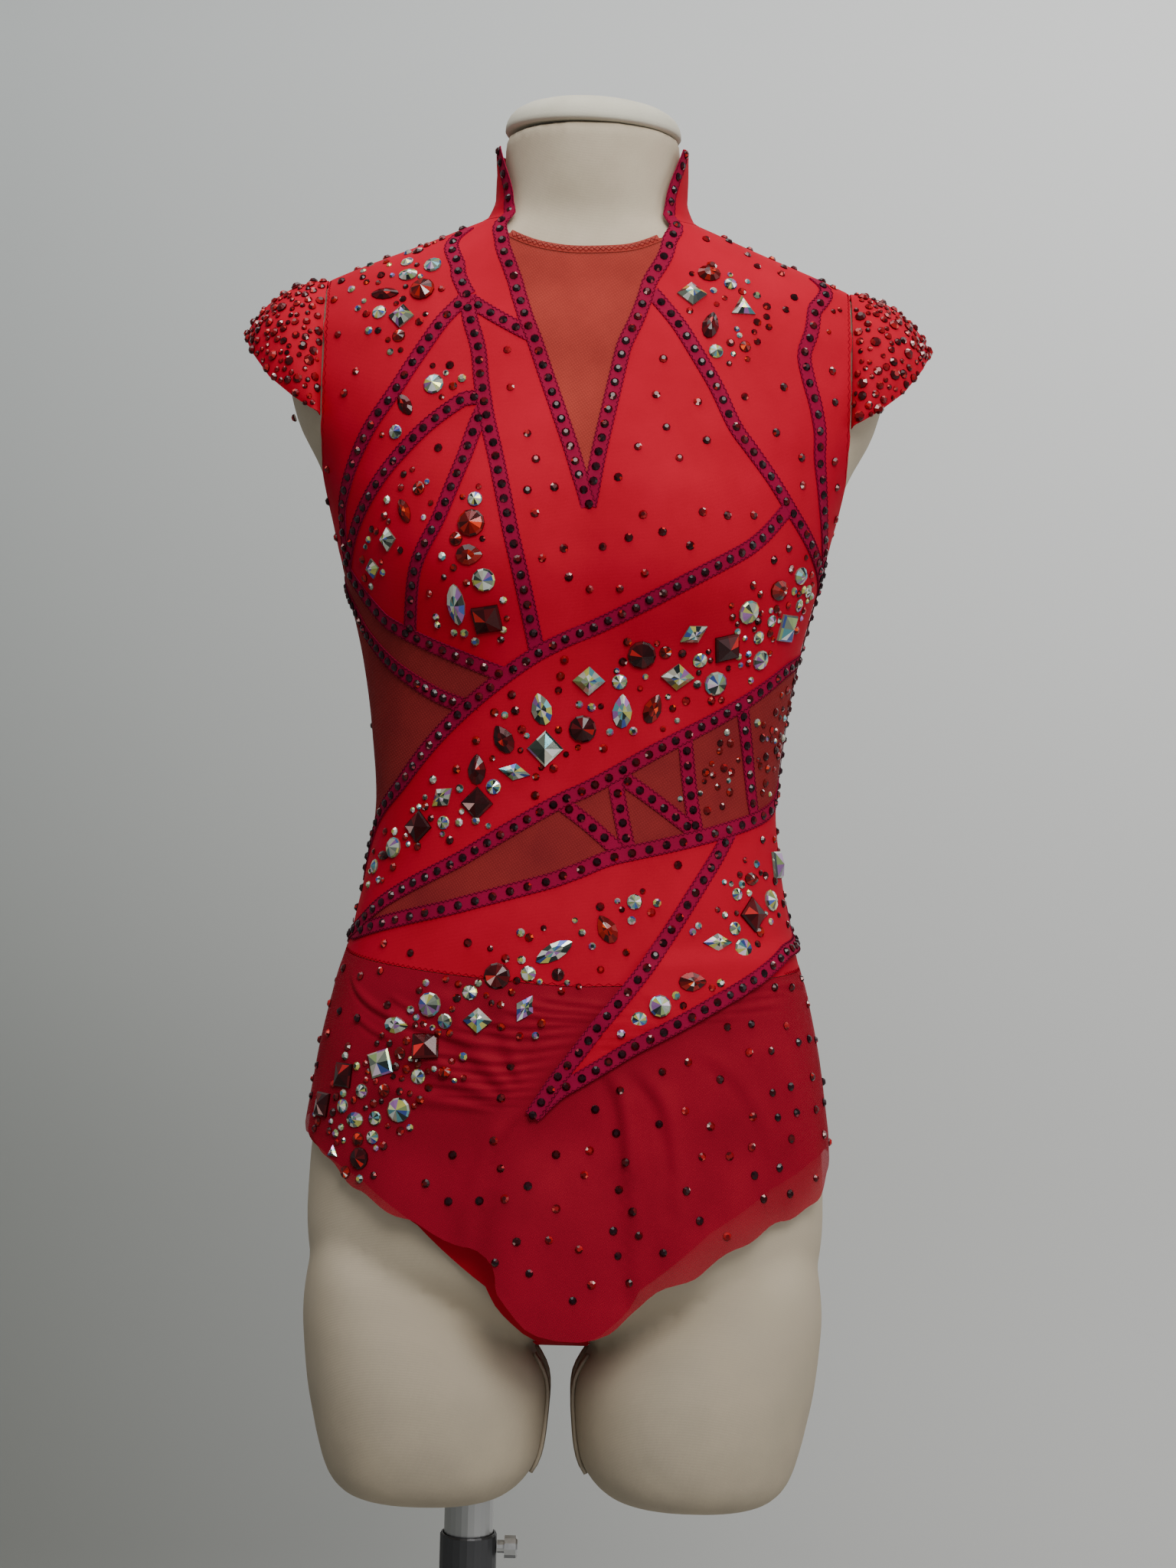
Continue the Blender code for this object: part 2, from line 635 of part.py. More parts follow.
def front_outline():
    """The whole front from hip seam to neck, in plan millimetres."""
    seam = SEAM / PLAN
    points = [(turn, along(HIP_LINE, turn) + SEAM) for turn in range(-90, 91, 10)]
    points[0] = (-90 + seam, points[0][1])
    points[-1] = (90 - seam, points[-1][1])
    side = list(range(840, 1100, 20)) + [1108, 1116, 1126, 1140, 1155, 1170, 1185, 1200, 1212, 1220,
                                        1225, 1233, 1241, 1249, 1256, NECK_SEAM - NECK_GAP]
    points += [(min(armhole_turn(z), 90) - seam, z) for z in side]
    top = [(66, NECK_SEAM - NECK_GAP), (46, NECK_SEAM - NECK_GAP), (36, 1254)]
    points += top + NECK_LINE[::-1] + [(-38, 1254), (-48, NECK_SEAM - NECK_GAP), (-66, NECK_SEAM - NECK_GAP)]
    points += [(seam - min(armhole_turn(z), 90), z) for z in side[::-1]]
    return [Vector((turn * PLAN, height)) for turn, height in points]


def seam_strips():
    """The seams between the front panels, each a little longer than its tape so that they meet."""
    lines = {
        "v_left": TAPES["v_left"][1:],
        "v_right": TAPES["v_right"][1:],
        "bust_left": [(-93, 1058)] + TAPES["bust_left"][BUST_SEAM_FROM + 1:],
        "bust_right": TAPES["bust_right"][BUST_SEAM_FROM:],
    }
    strips = []
    for label, line in TAPES.items():
        if label in LAID_ON:
            continue
        strips.append(strip(smooth_line(lines.get(label, line), EDGE), SEAM, 2.0))
    return strips


def build_front(materials):
    """All front panels above the hip seam, cut from one pattern along the seams under the tapes."""
    outline = refine(front_outline(), EDGE)
    seams = seam_strips()
    stones = [stone for stone in STONES if stone.height > along(HIP_LINE, stone.turn) + 8
              and not over_point(stone)]
    rings = [stone_rings(stone) for stone in stones]
    girdles = [ring[0] for ring in rings]
    tables = [ring[1] for ring in rings]
    spare = grid_points(outline, seams + girdles, COARSE_GRID)
    spare = [point for point in spare if not any(inside(point, girdle) for girdle in girdles)]
    flat, triangles, owners = triangulate([outline] + seams + girdles + tables, spare)
    seam_ids = set(range(1, 1 + len(seams)))
    kept = [tuple(t) for t, own in zip(triangles, owners) if 0 in own and not seam_ids & own]
    rises = rises_in(flat, tables)
    groups = patches(kept)
    for label, (turn, height) in PANEL_SEEDS.items():
        seed = Vector((turn * PLAN, height))
        for group in groups:
            if any(inside(seed, [flat[c] for c in triangle]) for triangle in group):
                wall_from(label, flat, group, cloth, 0.0, CLOTH, materials[label], rises)
                break


def over_point(stone):
    """True for a stone on the pointed front piece, between its two tapes."""
    if stone.height > 900:
        return False
    left = along(TAPES["point_left"], stone.height, 1)
    return stone.turn > left and stone.height > along(TAPES["point_right"], stone.turn)


def build_point(materials):
    """The pointed front piece: from the waist over the hip seam to its tip on the skirt."""
    left = [p for p in smooth_line(TAPES["point_left"], EDGE)]
    right = [p for p in smooth_line(TAPES["point_right"], EDGE)]
    waist = [p for p in smooth_line(TAPES["waist_bottom"], EDGE) if p.x > 50 * PLAN]
    side = (90 * PLAN - SEAM)
    outline = left[:-1] + [Vector((-5 * PLAN, 734))] + right[-2:0:-1]
    outline = [p for p in outline if p.x < side]
    outline += [Vector((side, 856)), Vector((side, 888)), Vector((side, 924))]
    outline += [p for p in waist[::-1] if p.x < side]
    outline = refine(shrink(outline, SEAM), EDGE)
    stones = [stone for stone in STONES if over_point(stone)]
    rings = [stone_rings(stone) for stone in stones]
    girdles = [ring[0] for ring in rings]
    tables = [ring[1] for ring in rings]
    spare = grid_points(outline, girdles, FINE_GRID)
    spare = [point for point in spare if not any(inside(point, girdle) for girdle in girdles)]
    flat, triangles, owners = triangulate([outline] + girdles + tables, spare)
    kept = [tuple(t) for t, own in zip(triangles, owners) if 0 in own]
    group = max(patches(kept), key=len)
    wall_from("point_panel", flat, group, over_skirt, 0.0, CLOTH, materials["point_panel"],
              rises_in(flat, tables))


def shrink(outline, amount):
    """Moves an outline inwards by an even amount."""
    area = sum(a.x * b.y - b.x * a.y for a, b in zip(outline, outline[1:] + outline[:1]))
    turn_in = 1 if area > 0 else -1
    moved = []
    count = len(outline)
    for index, point in enumerate(outline):
        before = (point - outline[index - 1]).normalized()
        after = (outline[(index + 1) % count] - point).normalized()
        inward = Vector((-(before.y + after.y), before.x + after.x))
        if inward.length < 0.2:
            inward = Vector((0, 1))
        moved.append(point + inward.normalized() * amount * turn_in)
    return moved


def refine(outline, step):
    """Adds points to an outline so that no edge is longer than a step."""
    points = []
    for a, b in zip(outline, outline[1:] + outline[:1]):
        count = max(1, math.ceil((b - a).length / step))
        points.extend(a + (b - a) * index / count for index in range(count))
    return points


def plain_panel(label, pairs, surface, step, material):
    """A panel without seams or stones, from its outline as turns and heights."""
    outline = refine([Vector((turn * PLAN, height)) for turn, height in pairs], step * 0.8)
    flat, triangles, owners = triangulate([outline], grid_points(outline, [], step))
    kept = [tuple(t) for t, own in zip(triangles, owners) if 0 in own]
    group = max(patches(kept), key=len)
    wall_from(label, flat, group, surface, 0.0, CLOTH, material)


def build_tapes(materials):
    lines = {label: smooth_line(line, TAPE_STEP) for label, line in TAPES.items()}
    labels = list(lines)
    for order, label in enumerate(labels):
        own = strip(lines[label], TAPE_WIDTH / 2)
        before = [strip(lines[other], TAPE_WIDTH / 2 + TAPE_SPACE, TAPE_SPACE)
                  for other in labels[:order]]
        reach = [outline for outline in before if near_outline(own, outline)]
        flat, triangles, owners = triangulate([own] + reach, [])
        kept = [tuple(t) for t, own_ids in zip(triangles, owners) if own_ids == {0}]
        group = max(patches(kept), key=lambda g: sum(size(flat, t) for t in g))
        surface = over_skirt if label.startswith("point") else cloth
        wall_from("tape_" + label, flat, group, surface, TAPE_BASE, TAPE, materials["tape"])


def size(flat, triangle):
    a, b, c = (flat[corner] for corner in triangle)
    return abs((b - a).cross(c - a)) / 2


def near_outline(outline, other):
    low_x, high_x = min(p.x for p in other) - 2, max(p.x for p in other) + 2
    low_y, high_y = min(p.y for p in other) - 2, max(p.y for p in other) + 2
    return any(low_x < p.x < high_x and low_y < p.y < high_y for p in outline)


def build_binding(materials):
    """The narrow binding along the top of the neck mesh, between the two front tapes."""
    line = smooth_line(NECK_LINE, 10)
    own = strip(line, BINDING_WIDTH / 2)
    before = [strip(smooth_line(TAPES[label], TAPE_STEP), TAPE_WIDTH / 2 + TAPE_SPACE)
              for label in ("v_left", "v_right")]
    flat, triangles, owners = triangulate([own] + before, [])
    kept = [tuple(t) for t, own_ids in zip(triangles, owners) if own_ids == {0}]
    group = max(patches(kept), key=len)
    wall_from("neck_binding", flat, group, cloth, TAPE_BASE, TAPE, materials["tape"])


def build_backs(materials):
    """Left and right back, from hip seam to neck, meeting at the centre back."""
    gap = SEAM / PLAN
    top = NECK_SEAM - NECK_GAP
    for label, side in (("back_right", 1), ("back_left", -1)):
        hem = [(turn * side, along(HIP_LINE, turn * side) + SEAM) for turn in (180 - gap, 135, 90 + gap)]
        armhole = [((180 - armhole_turn(z) + gap) * side, z)
                   for z in (1090, 1107, 1112, 1120, 1132, 1148, 1165, 1182, 1198, 1210, 1219, 1225, 1232)]
        neck = [((90 + gap) * side, top), ((180 - gap) * side, top)]
        plain_panel(label, hem + armhole + neck, cloth, COARSE_GRID, materials[label])


def build_collar(materials):
    """A stand collar round the sides and back of the neck, open at the front."""
    heights = [NECK_SEAM + NECK_GAP, 1267, 1273, 1281, 1290, 1300, COLLAR_TOP]
    columns = 18
    layers = []
    for out in (0.0, CLOTH):
        rows = []
        for height in heights:
            start = along(TAPES["v_right"], height, 1)
            end = 360 + along(TAPES["v_left"], height, 1)
            rows.append([cloth((start + (end - start) * c / columns + 180) % 360 - 180, height, out)
                         for c in range(columns + 1)])
        layers.append(rows)
    grid_wall("collar", layers[0], layers[1], materials["collar"])


def sleeve_hem(share):
    """The cap sleeve's edge: front foot, pointed tip over the shoulder, back foot."""
    edge = [(159.5, -50, 1141), (174, -49, 1150), (189, -43, 1162), (202, -25, 1179), (209.5, 3, 1192),
            (203, 30, 1184), (189, 48, 1169), (175, 57, 1155), (159.5, 61, 1143)]
    place_on = share * (len(edge) - 1)
    index = min(int(place_on), len(edge) - 2)
    t = place_on - index
    return Vector(edge[index]).lerp(Vector(edge[index + 1]), t)


def sleeve_seam(share, out):
    """The armhole edge that the sleeve is sewn to, from front foot over the shoulder to back foot."""
    height = SLEEVE_FOOT + (SLEEVE_TOP - SLEEVE_FOOT) * math.sin(math.pi * share)**0.8
    shape = section_at(height)
    part = min((ARMHOLE_X + SLEEVE_SPACE) / shape.half_width, 1.0)
    turn = math.degrees(math.asin(part**(shape.squareness / 2)))
    turn = turn if share <= 0.5 else 180 - turn
    return cloth(turn, height, out)


def build_sleeves(materials):
    around, across = 18, 4
    for label, mirror in (("sleeve_right", 1), ("sleeve_left", -1)):
        surface = []
        for column in range(across + 1):
            t = column / across
            row = []
            for index in range(around + 1):
                share = index / around
                start = sleeve_seam(share, 0.8)
                point = start.lerp(sleeve_hem(share), t)
                away = (point - SLEEVE_MIDDLE).normalized()
                bulge = SLEEVE_BULGE * 4 * t * (1 - t) * math.sin(math.pi * share)**0.5
                row.append(point + away * bulge)
            surface.append(row)
        layers = ([], [])
        for column, row in enumerate(surface):
            low = surface[max(column - 1, 0)]
            high = surface[min(column + 1, across)]
            for layer, out in zip(layers, (-CLOTH / 2, CLOTH / 2)):
                line = []
                for index, point in enumerate(row):
                    ahead = row[min(index + 1, around)] - row[max(index - 1, 0)]
                    face = (high[index] - low[index]).cross(ahead)
                    if face.length < 1e-6 or face.dot(point - SLEEVE_MIDDLE) < 0:
                        face = -face
                    if face.length < 1e-6:
                        face = point - SLEEVE_MIDDLE
                    moved = point + face.normalized() * out
                    line.append(Vector((moved.x * mirror, moved.y, moved.z)))
                layer.append(line)
        grid_wall(label, layers[0], layers[1], materials[label])


def build_brief(materials):
    """The brief: a front and a back from the hip seam to the leg lines, and a gusset between."""
    gap = BRIEF_GAP / PLAN
    for label, leg, facing in (("brief_front", LEG_FRONT, 0), ("brief_back", LEG_BACK, 180)):
        turns = [90 - gap, 60, 30, 0, -30, -60, gap - 90]
        top = [(turn + facing, hip_height(turn + facing) - SEAM) for turn in turns]
        left = [(facing - turn, height) for turn, height in leg[::-1]]
        right = [(facing + turn, height) for turn, height in leg]
        left[0] = (left[0][0] + gap, left[0][1])
        right[-1] = (right[-1][0] - gap, right[-1][1])
        plain_panel(label, top + left + right, cloth, COARSE_GRID, materials["brief"])
    build_gusset(materials)


def build_gusset(materials):
    """The strip that joins front to back under the crotch."""
    heights = [590.4, 588, 585.6, 583.4]
    half_widths = [15, 14.5, 14, 14, 14, 14, 14.5, 16, 18]
    path = [skin(0, height) for height in heights]
    path += [Vector((0, SECTIONS[0].centre, BODY_BOTTOM))]
    path += [skin(180, height) for height in heights[::-1]]
    columns = 4
    layers = ([], [])
    for index, (point, half_width) in enumerate(zip(path, half_widths)):
        ahead = (path[min(index + 1, len(path) - 1)] - path[max(index - 1, 0)]).normalized()
        away = Vector((0, ahead.z, -ahead.y))
        for layer, out in zip(layers, (0.0, CLOTH)):
            layer.append([Vector((half_width * (2 * c / columns - 1), point.y, point.z)) + away * out
                          for c in range(columns + 1)])
    grid_wall("gusset", layers[0], layers[1], materials["brief"])


def hem_height(turn):
    """The skirt's lower edge: the front dips to a soft point, and the back is the same, plainer."""
    if abs(turn) <= 90:
        return along(HEM_FRONT, turn)
    back = 180 - abs(turn)
    side = HEM_FRONT[-1][1] if turn > 0 else HEM_FRONT[0][1]
    return side - (side - 640) * smoothstep(90, 0, back) if back < 90 else side


def build_skirt(materials):
    gap = SKIRT_GAP / PLAN
    turns = [-90 + gap] + list(range(-85, 90, 5)) + [90 - gap]
    top = [(turn, along(HIP_LINE, turn) - SEAM) for turn in turns]
    hem = [(-90 + gap, HEM_FRONT[0][1])] + HEM_FRONT[1:-1] + [(90 - gap, HEM_FRONT[-1][1])]
    outline = [Vector((turn * PLAN, height)) for turn, height in hem + top[::-1]]
    outline = refine([p for i, p in enumerate(outline) if (p - outline[i - 1]).length > 1.0], EDGE)
    stones = [s for s in STONES if s.height <= along(HIP_LINE, s.turn) + 8 and not over_point(s)]
    rings = [stone_rings(stone) for stone in stones]
    girdles = [ring[0] for ring in rings]
    tables = [ring[1] for ring in rings]
    spare = grid_points(outline, girdles, FINE_GRID)
    spare = [point for point in spare if not any(inside(point, girdle) for girdle in girdles)]
    flat, triangles, owners = triangulate([outline] + girdles + tables, spare)
    kept = [tuple(t) for t, own in zip(triangles, owners) if 0 in own]
    group = max(patches(kept), key=len)
    wall_from("skirt_front", flat, group, hanging, 0.0, CLOTH, materials["skirt"], rises_in(flat, tables))
    layers = []
    columns, rows_count = 24, 6
    for out in (0.0, CLOTH):
        rows = []
        for r in range(rows_count + 1):
            row = []
            for c in range(columns + 1):
                turn = 90 + gap + (180 - 2 * gap) * c / columns
                turn = (turn + 180) % 360 - 180
                top_height = along(HIP_LINE, turn) - SEAM
                low = hem_height(turn)
                row.append(hanging(turn, low + (top_height - low) * r / rows_count, out))
            rows.append(row)
        layers.append(rows)
    grid_wall("skirt_back", layers[0], layers[1], materials["skirt"])


def ring_solid(label, rings, material):
    """A closed solid from rings of points, with a flat cap at each end."""
    count = len(rings[0])
    vertices = [point for ring in rings for point in ring]
    faces = [tuple(range(count - 1, -1, -1))]
    for r in range(len(rings) - 1):
        for c in range(count):
            a, b = r * count + c, r * count + (c + 1) % count
            faces.append((a, b, b + count, a + count))
    last = (len(rings) - 1) * count
    faces.append(tuple(range(last, last + count)))
    return place(label, vertices, faces, material)


def circle(x, y, z, radius, count):
    return [Vector((x + radius * math.cos(2 * math.pi * i / count),
                    y + radius * math.sin(2 * math.pi * i / count), z)) for i in range(count)]


def combine(target, tool, operation):
    modifier = target.modifiers.new(operation.lower(), "BOOLEAN")
    modifier.operation = operation
    modifier.solver = "EXACT"
    modifier.object = tool
    depsgraph = bpy.context.evaluated_depsgraph_get()
    shape = bpy.data.meshes.new_from_object(target.evaluated_get(depsgraph))
    target.modifiers.clear()
    target.data = shape
    bpy.data.objects.remove(tool, do_unlink=True)


def form_inset(height):
    """How far the form lies inside the cloth: more where the body turns quickly."""
    low = 3.5 * (1 - smoothstep(604, 640, height))
    shoulder = 1.4 * smoothstep(1195, 1212, height) * (1 - smoothstep(1235, 1250, height))
    return FORM_INSET + low + shoulder


def build_form(materials):
    """The dress form: torso, two thigh stumps and a neck, all one cloth-covered body."""
    around = 28
    heights = [582.9, 585, 590, 598, 610, 628, 655, 690, 730, 775, 820, 865, 912, 954, 996, 1022, 1046,
               1070, 1094, 1118, 1140, 1165, 1190, 1208, 1218, 1228, 1238, 1248, 1258, 1266, 1280, 1317]
    rings = []
    for height in heights:
        ring = []
        for index in range(around):
            turn = 360 * index / around
            inward = outward(turn, height)
            inward.z = max(inward.z, -0.6)
            ring.append(skin(turn, height) - inward * form_inset(height))
        rings.append(ring)
    body = ring_solid("form_body", rings, materials["form"])
    for side in (1, -1):
        rings = []
        for row in THIGH:
            ring = []
            for index in range(20):
                turn = 2 * math.pi * index / 20
                power = 2 / 2.4
                x = row.half_width * math.copysign(abs(math.sin(turn))**power, math.sin(turn))
                ahead = math.cos(turn)
                depth = row.front if ahead > 0 else row.back
                y = -depth * math.copysign(abs(ahead)**power, ahead)
                ring.append(Vector((side * row.across + x, y, row.height)))
            rings.append(ring)
        thigh = ring_solid("thigh", rings, materials["form"])
        combine(body, thigh, "UNION")
    socket = ring_solid("socket", [circle(POLE_X, 0, z, POLE_RADIUS + 0.3, 24) for z in (400, POLE_TOP + 0.5)],
                        materials["form"])
    combine(body, socket, "DIFFERENCE")
    cap = section_at(BODY_TOP)
    rings = []
    for rise, share in ((0.4, 0.95), (7, 0.94), (12, 0.87), (16, 0.71), (19.5, 0.25)):
        rings.append([Vector((p.x * share, cap.centre + (p.y - cap.centre) * share, BODY_TOP - 1.6 + rise))
                      for p in (skin(360 * i / 24, BODY_TOP) for i in range(24))])
    ring_solid("form_neck_cap", rings, materials["form"])


def build_stand(materials):
    pole = [circle(POLE_X, 0, z, r, 24) for z, r in ((POLE_BOTTOM, POLE_RADIUS), (POLE_TOP, POLE_RADIUS))]
    ring_solid("pole", pole, materials["steel"])
    profile = [(TUBE_BORE, BASE_THICKNESS + 0.3), (TUBE_RADIUS, BASE_THICKNESS + 0.3),
               (TUBE_RADIUS, TUBE_TOP - 1), (TUBE_RADIUS - 0.6, TUBE_TOP), (TUBE_BORE, TUBE_TOP)]
    rings = [circle(POLE_X, 0, z, r, 24) for r, z in profile]
    count = 24
    vertices = [point for ring in rings for point in ring]
    faces = []
    for r in range(len(rings)):
        after = (r + 1) % len(rings)
        for c in range(count):
            n = (c + 1) % count
            faces.append((r * count + c, r * count + n, after * count + n, after * count + c))
    place("stand_tube", vertices, faces, materials["dark_steel"])
    plate = [circle(POLE_X, 0, z, r, 32) for z, r in
             ((0, BASE_RADIUS), (BASE_THICKNESS - 2, BASE_RADIUS), (BASE_THICKNESS, BASE_RADIUS - 2))]
    ring_solid("stand_base", plate, materials["dark_steel"])
    start = POLE_X + TUBE_RADIUS + 0.3
    rings = []
    for reach, radius in ((0, 4.0), (4.5, 4.0), (4.5, 7.0), (11.5, 7.0), (12.5, 6.0)):
        rings.append([Vector((start + reach, radius * math.sin(math.pi * i / 6),
                              SCREW_HEIGHT + radius * math.cos(math.pi * i / 6))) for i in range(12)])
    ring_solid("clamp_screw", rings, materials["steel"])


def make_materials():
    red = (0.545, 0.014, 0.028)
    wine = (0.185, 0.013, 0.058)
    materials = {
        "tape": make_material("raspberry_tape", wine, 0.55),
        "skirt": make_material("skirt_mesh", (0.30, 0.008, 0.022), 0.6),
        "brief": make_material("brief_knit", red, 0.45),
        "form": make_material("form_linen", (0.48, 0.42, 0.34), 0.85),
        "steel": make_material("steel", (0.62, 0.62, 0.62), 0.3, 1.0),
        "dark_steel": make_material("dark_steel", (0.22, 0.22, 0.23), 0.4, 1.0),
    }
    knit = make_material("red_knit", red, 0.4)
    mesh = make_material("red_mesh", (0.26, 0.030, 0.028), 0.6)
    neck = make_material("neck_mesh", (0.42, 0.080, 0.055), 0.6)
    for label in ("bodice_front", "sash", "hip_left", "hip_right", "point_panel",
                  "back_left", "back_right", "collar", "sleeve_left", "sleeve_right"):
        materials[label] = knit
    for label in ("under_bust_mesh", "side_mesh", "waist_mesh", "waist_panel", "waist_side_panel"):
        materials[label] = mesh
    materials["neck_mesh"] = neck
    return materials


clear_scene()
COLLECTION = bpy.data.collections.new("leotard_on_dress_form")
bpy.context.scene.collection.children.link(COLLECTION)
MATERIALS = make_materials()
build_form(MATERIALS)
build_stand(MATERIALS)
build_front(MATERIALS)
build_point(MATERIALS)
build_tapes(MATERIALS)
build_binding(MATERIALS)
build_backs(MATERIALS)
build_collar(MATERIALS)
build_sleeves(MATERIALS)
build_brief(MATERIALS)
build_skirt(MATERIALS)
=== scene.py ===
# Looks for a rhythmic gymnastics leotard on a limbless dress form: sheer and opaque stretch cloth,
# stitched tapes and cut-glass stones, laid on the same body as the solids.
# Lengths are millimetres until a piece is finished; +Z is up and the wearer's front faces -Y.
# A place on the body is a turn and a height: turn 0 is the centre front, 90 the side seam at +X.
import math
import random
from collections import namedtuple

import bmesh
import bpy
from mathutils import Matrix, Vector, geometry, kdtree


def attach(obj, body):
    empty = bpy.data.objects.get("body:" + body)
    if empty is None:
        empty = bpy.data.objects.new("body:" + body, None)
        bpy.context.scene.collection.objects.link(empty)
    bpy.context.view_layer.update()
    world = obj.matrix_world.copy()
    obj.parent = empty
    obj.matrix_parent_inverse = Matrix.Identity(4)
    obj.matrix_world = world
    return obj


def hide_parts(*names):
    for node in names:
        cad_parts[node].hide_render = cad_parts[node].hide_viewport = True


MM = 0.001
SEAM = 0.2              # half the space between two panels at a seam
CLOTH_BASE = 0.3        # underside of a panel above the body
CLOTH = 0.7             # wall of a panel
TAPE_ON = 1.1           # underside of a tape above the body
TAPE = 0.5              # wall of a tape
TAPE_WIDTH = 9.0
ARMHOLE_X = 157.0       # the plane across the shoulder that the armhole lies in
NECK_SEAM = 1262.0
NECK_GAP = 0.2
NECK_EDGE = NECK_SEAM - NECK_GAP
SKIRT_GAP = 0.2
COLLAR_TOP = 1309.0
COLLAR_EASE = 2.0
APPLIQUE_LIFT = 3.2     # the pointed front piece rises this far to pass over the skirt
HANG = 716.0            # below this height the skirt hangs straight
SKIRT_BASE = 1.9
PLAN = 2.2              # millimetres of cloth to one degree of turn
EDGE = 10.0             # spacing of the points along the seams
FINE_ABOVE = 1195.0     # the shoulders turn quickly and have smaller triangles
PANEL_TOP = CLOTH_BASE + CLOTH
TAPE_TOP = TAPE_ON + TAPE

# Threads and stitches
Stitch = namedtuple("Stitch", "radius pitch reach inset")
TAPE_STITCH = Stitch(radius=0.26, pitch=1.5, reach=0.6, inset=0.5)
BINDING_STITCH = Stitch(radius=0.2, pitch=3.4, reach=1.5, inset=0)
ARMHOLE_THREAD = 0.17
HIP_THREAD = 0.18
WELT_RADIUS = 2.0
ARMHOLE_STITCHES = (1112, 1224)     # lowest and highest stitch round the armholes
HIP_STITCHES_FROM = 64              # they come out again from under the pointed piece here

# The form under the cloth
FORM_INSET = 2.2        # how far it lies inside the cloth
FORM_INSET_LOW = 3.5    # and this much more low down, where the body turns in
FORM_VOXEL = 0.0042     # metres; the torso, thighs and neck grow together at this size
FORM_POINTS = 96        # round the torso
LIMB_POINTS = 72        # round a thigh and round the neck cap
LIMB_POWER = 2.4        # squareness of a thigh's section
CAP_SHARE = 0.965       # width of the neck cap, as a share of the neck's top

# The photograph's view: a level camera with a slight roll
EYE_DISTANCE = 1700.0
EYE_X = 7.1
EYE_HEIGHT = 924.0
FRAME_HEIGHT = 960.0
ROLL = 0.0263

Section = namedtuple("Section", "height half_width front back centre squareness")
SECTIONS = [Section(*row) for row in (
    (582.5, 14, 10, 10, 4, 2.0),
    (585, 44, 26, 28, 4, 2.1),
    (592, 84, 48, 54, 4, 2.2),
    (604, 130, 68, 78, 3, 2.3),
    (620, 152, 80, 94, 2, 2.4),
    (640, 158, 86, 104, 0, 2.4),
    (660, 159.5, 89, 110, 0, 2.4),
    (690, 158.5, 91, 114, 0, 2.4),
    (720, 156, 92, 115, 0, 2.4),
    (757, 151, 91, 111, 0, 2.35),
    (799, 142, 89, 103, 0, 2.3),
    (837, 132.5, 86, 95, 0, 2.25),
    (879, 124.5, 83, 87, 0, 2.2),
    (912, 121, 82, 84, 0, 2.2),
    (954, 124.5, 84, 84, 0, 2.2),
    (996, 131, 88, 86, 0, 2.2),
    (1028, 138.5, 92, 90, 0, 2.2),
    (1060, 147, 96, 94, 0, 2.2),
    (1094, 156, 97, 98, 1, 2.15),
    (1115, 165, 95, 99, 2, 2.1),
    (1140, 178, 91, 98, 3, 2.1),
    (1165, 184, 86, 96, 4, 2.1),
    (1190, 184, 80, 93, 5, 2.1),
    (1210, 177, 73, 89, 6, 2.05),
    (1222, 167, 68, 86, 6, 2.0),
    (1231, 149, 65, 83, 6, 2.0),
    (1240, 127, 62, 80, 6, 2.0),
    (1248, 106, 59, 76, 5, 2.0),
    (1257, 84, 56, 69, 4, 2.0),
    (1266, 62, 54, 62, 2, 2.0),
    (1280, 55.5, 55.5, 56.5, 0, 2.0),
    (1300, 55.5, 55.5, 55.5, -3, 2.0),
    (1319, 55.5, 55.5, 55.5, -6, 2.0),
)]
BODY_BOTTOM = SECTIONS[0].height
BODY_TOP = SECTIONS[-1].height

Cup = namedtuple("Cup", "across height lift wide above below")
CUP = Cup(across=66, height=1046, lift=17, wide=40, above=52, below=30)

# The thigh stumps narrow upwards, so that they end inside the body under the brief
Thigh = namedtuple("Thigh", "height across half_width front back")
THIGH = [Thigh(*row) for row in (
    (490, 82, 38, 42, 50),
    (494, 80.5, 50, 60, 71),
    (503, 79.5, 60, 70, 83),
    (515, 78.5, 66, 75, 89),
    (537, 79.5, 70.5, 79, 94),
    (560, 81.5, 73, 80, 96),
    (590, 91.5, 66, 77, 92),
    (605, 99, 59, 74, 86),
    (625, 107, 49, 70, 82),
    (650, 114, 37, 58, 70),
)]

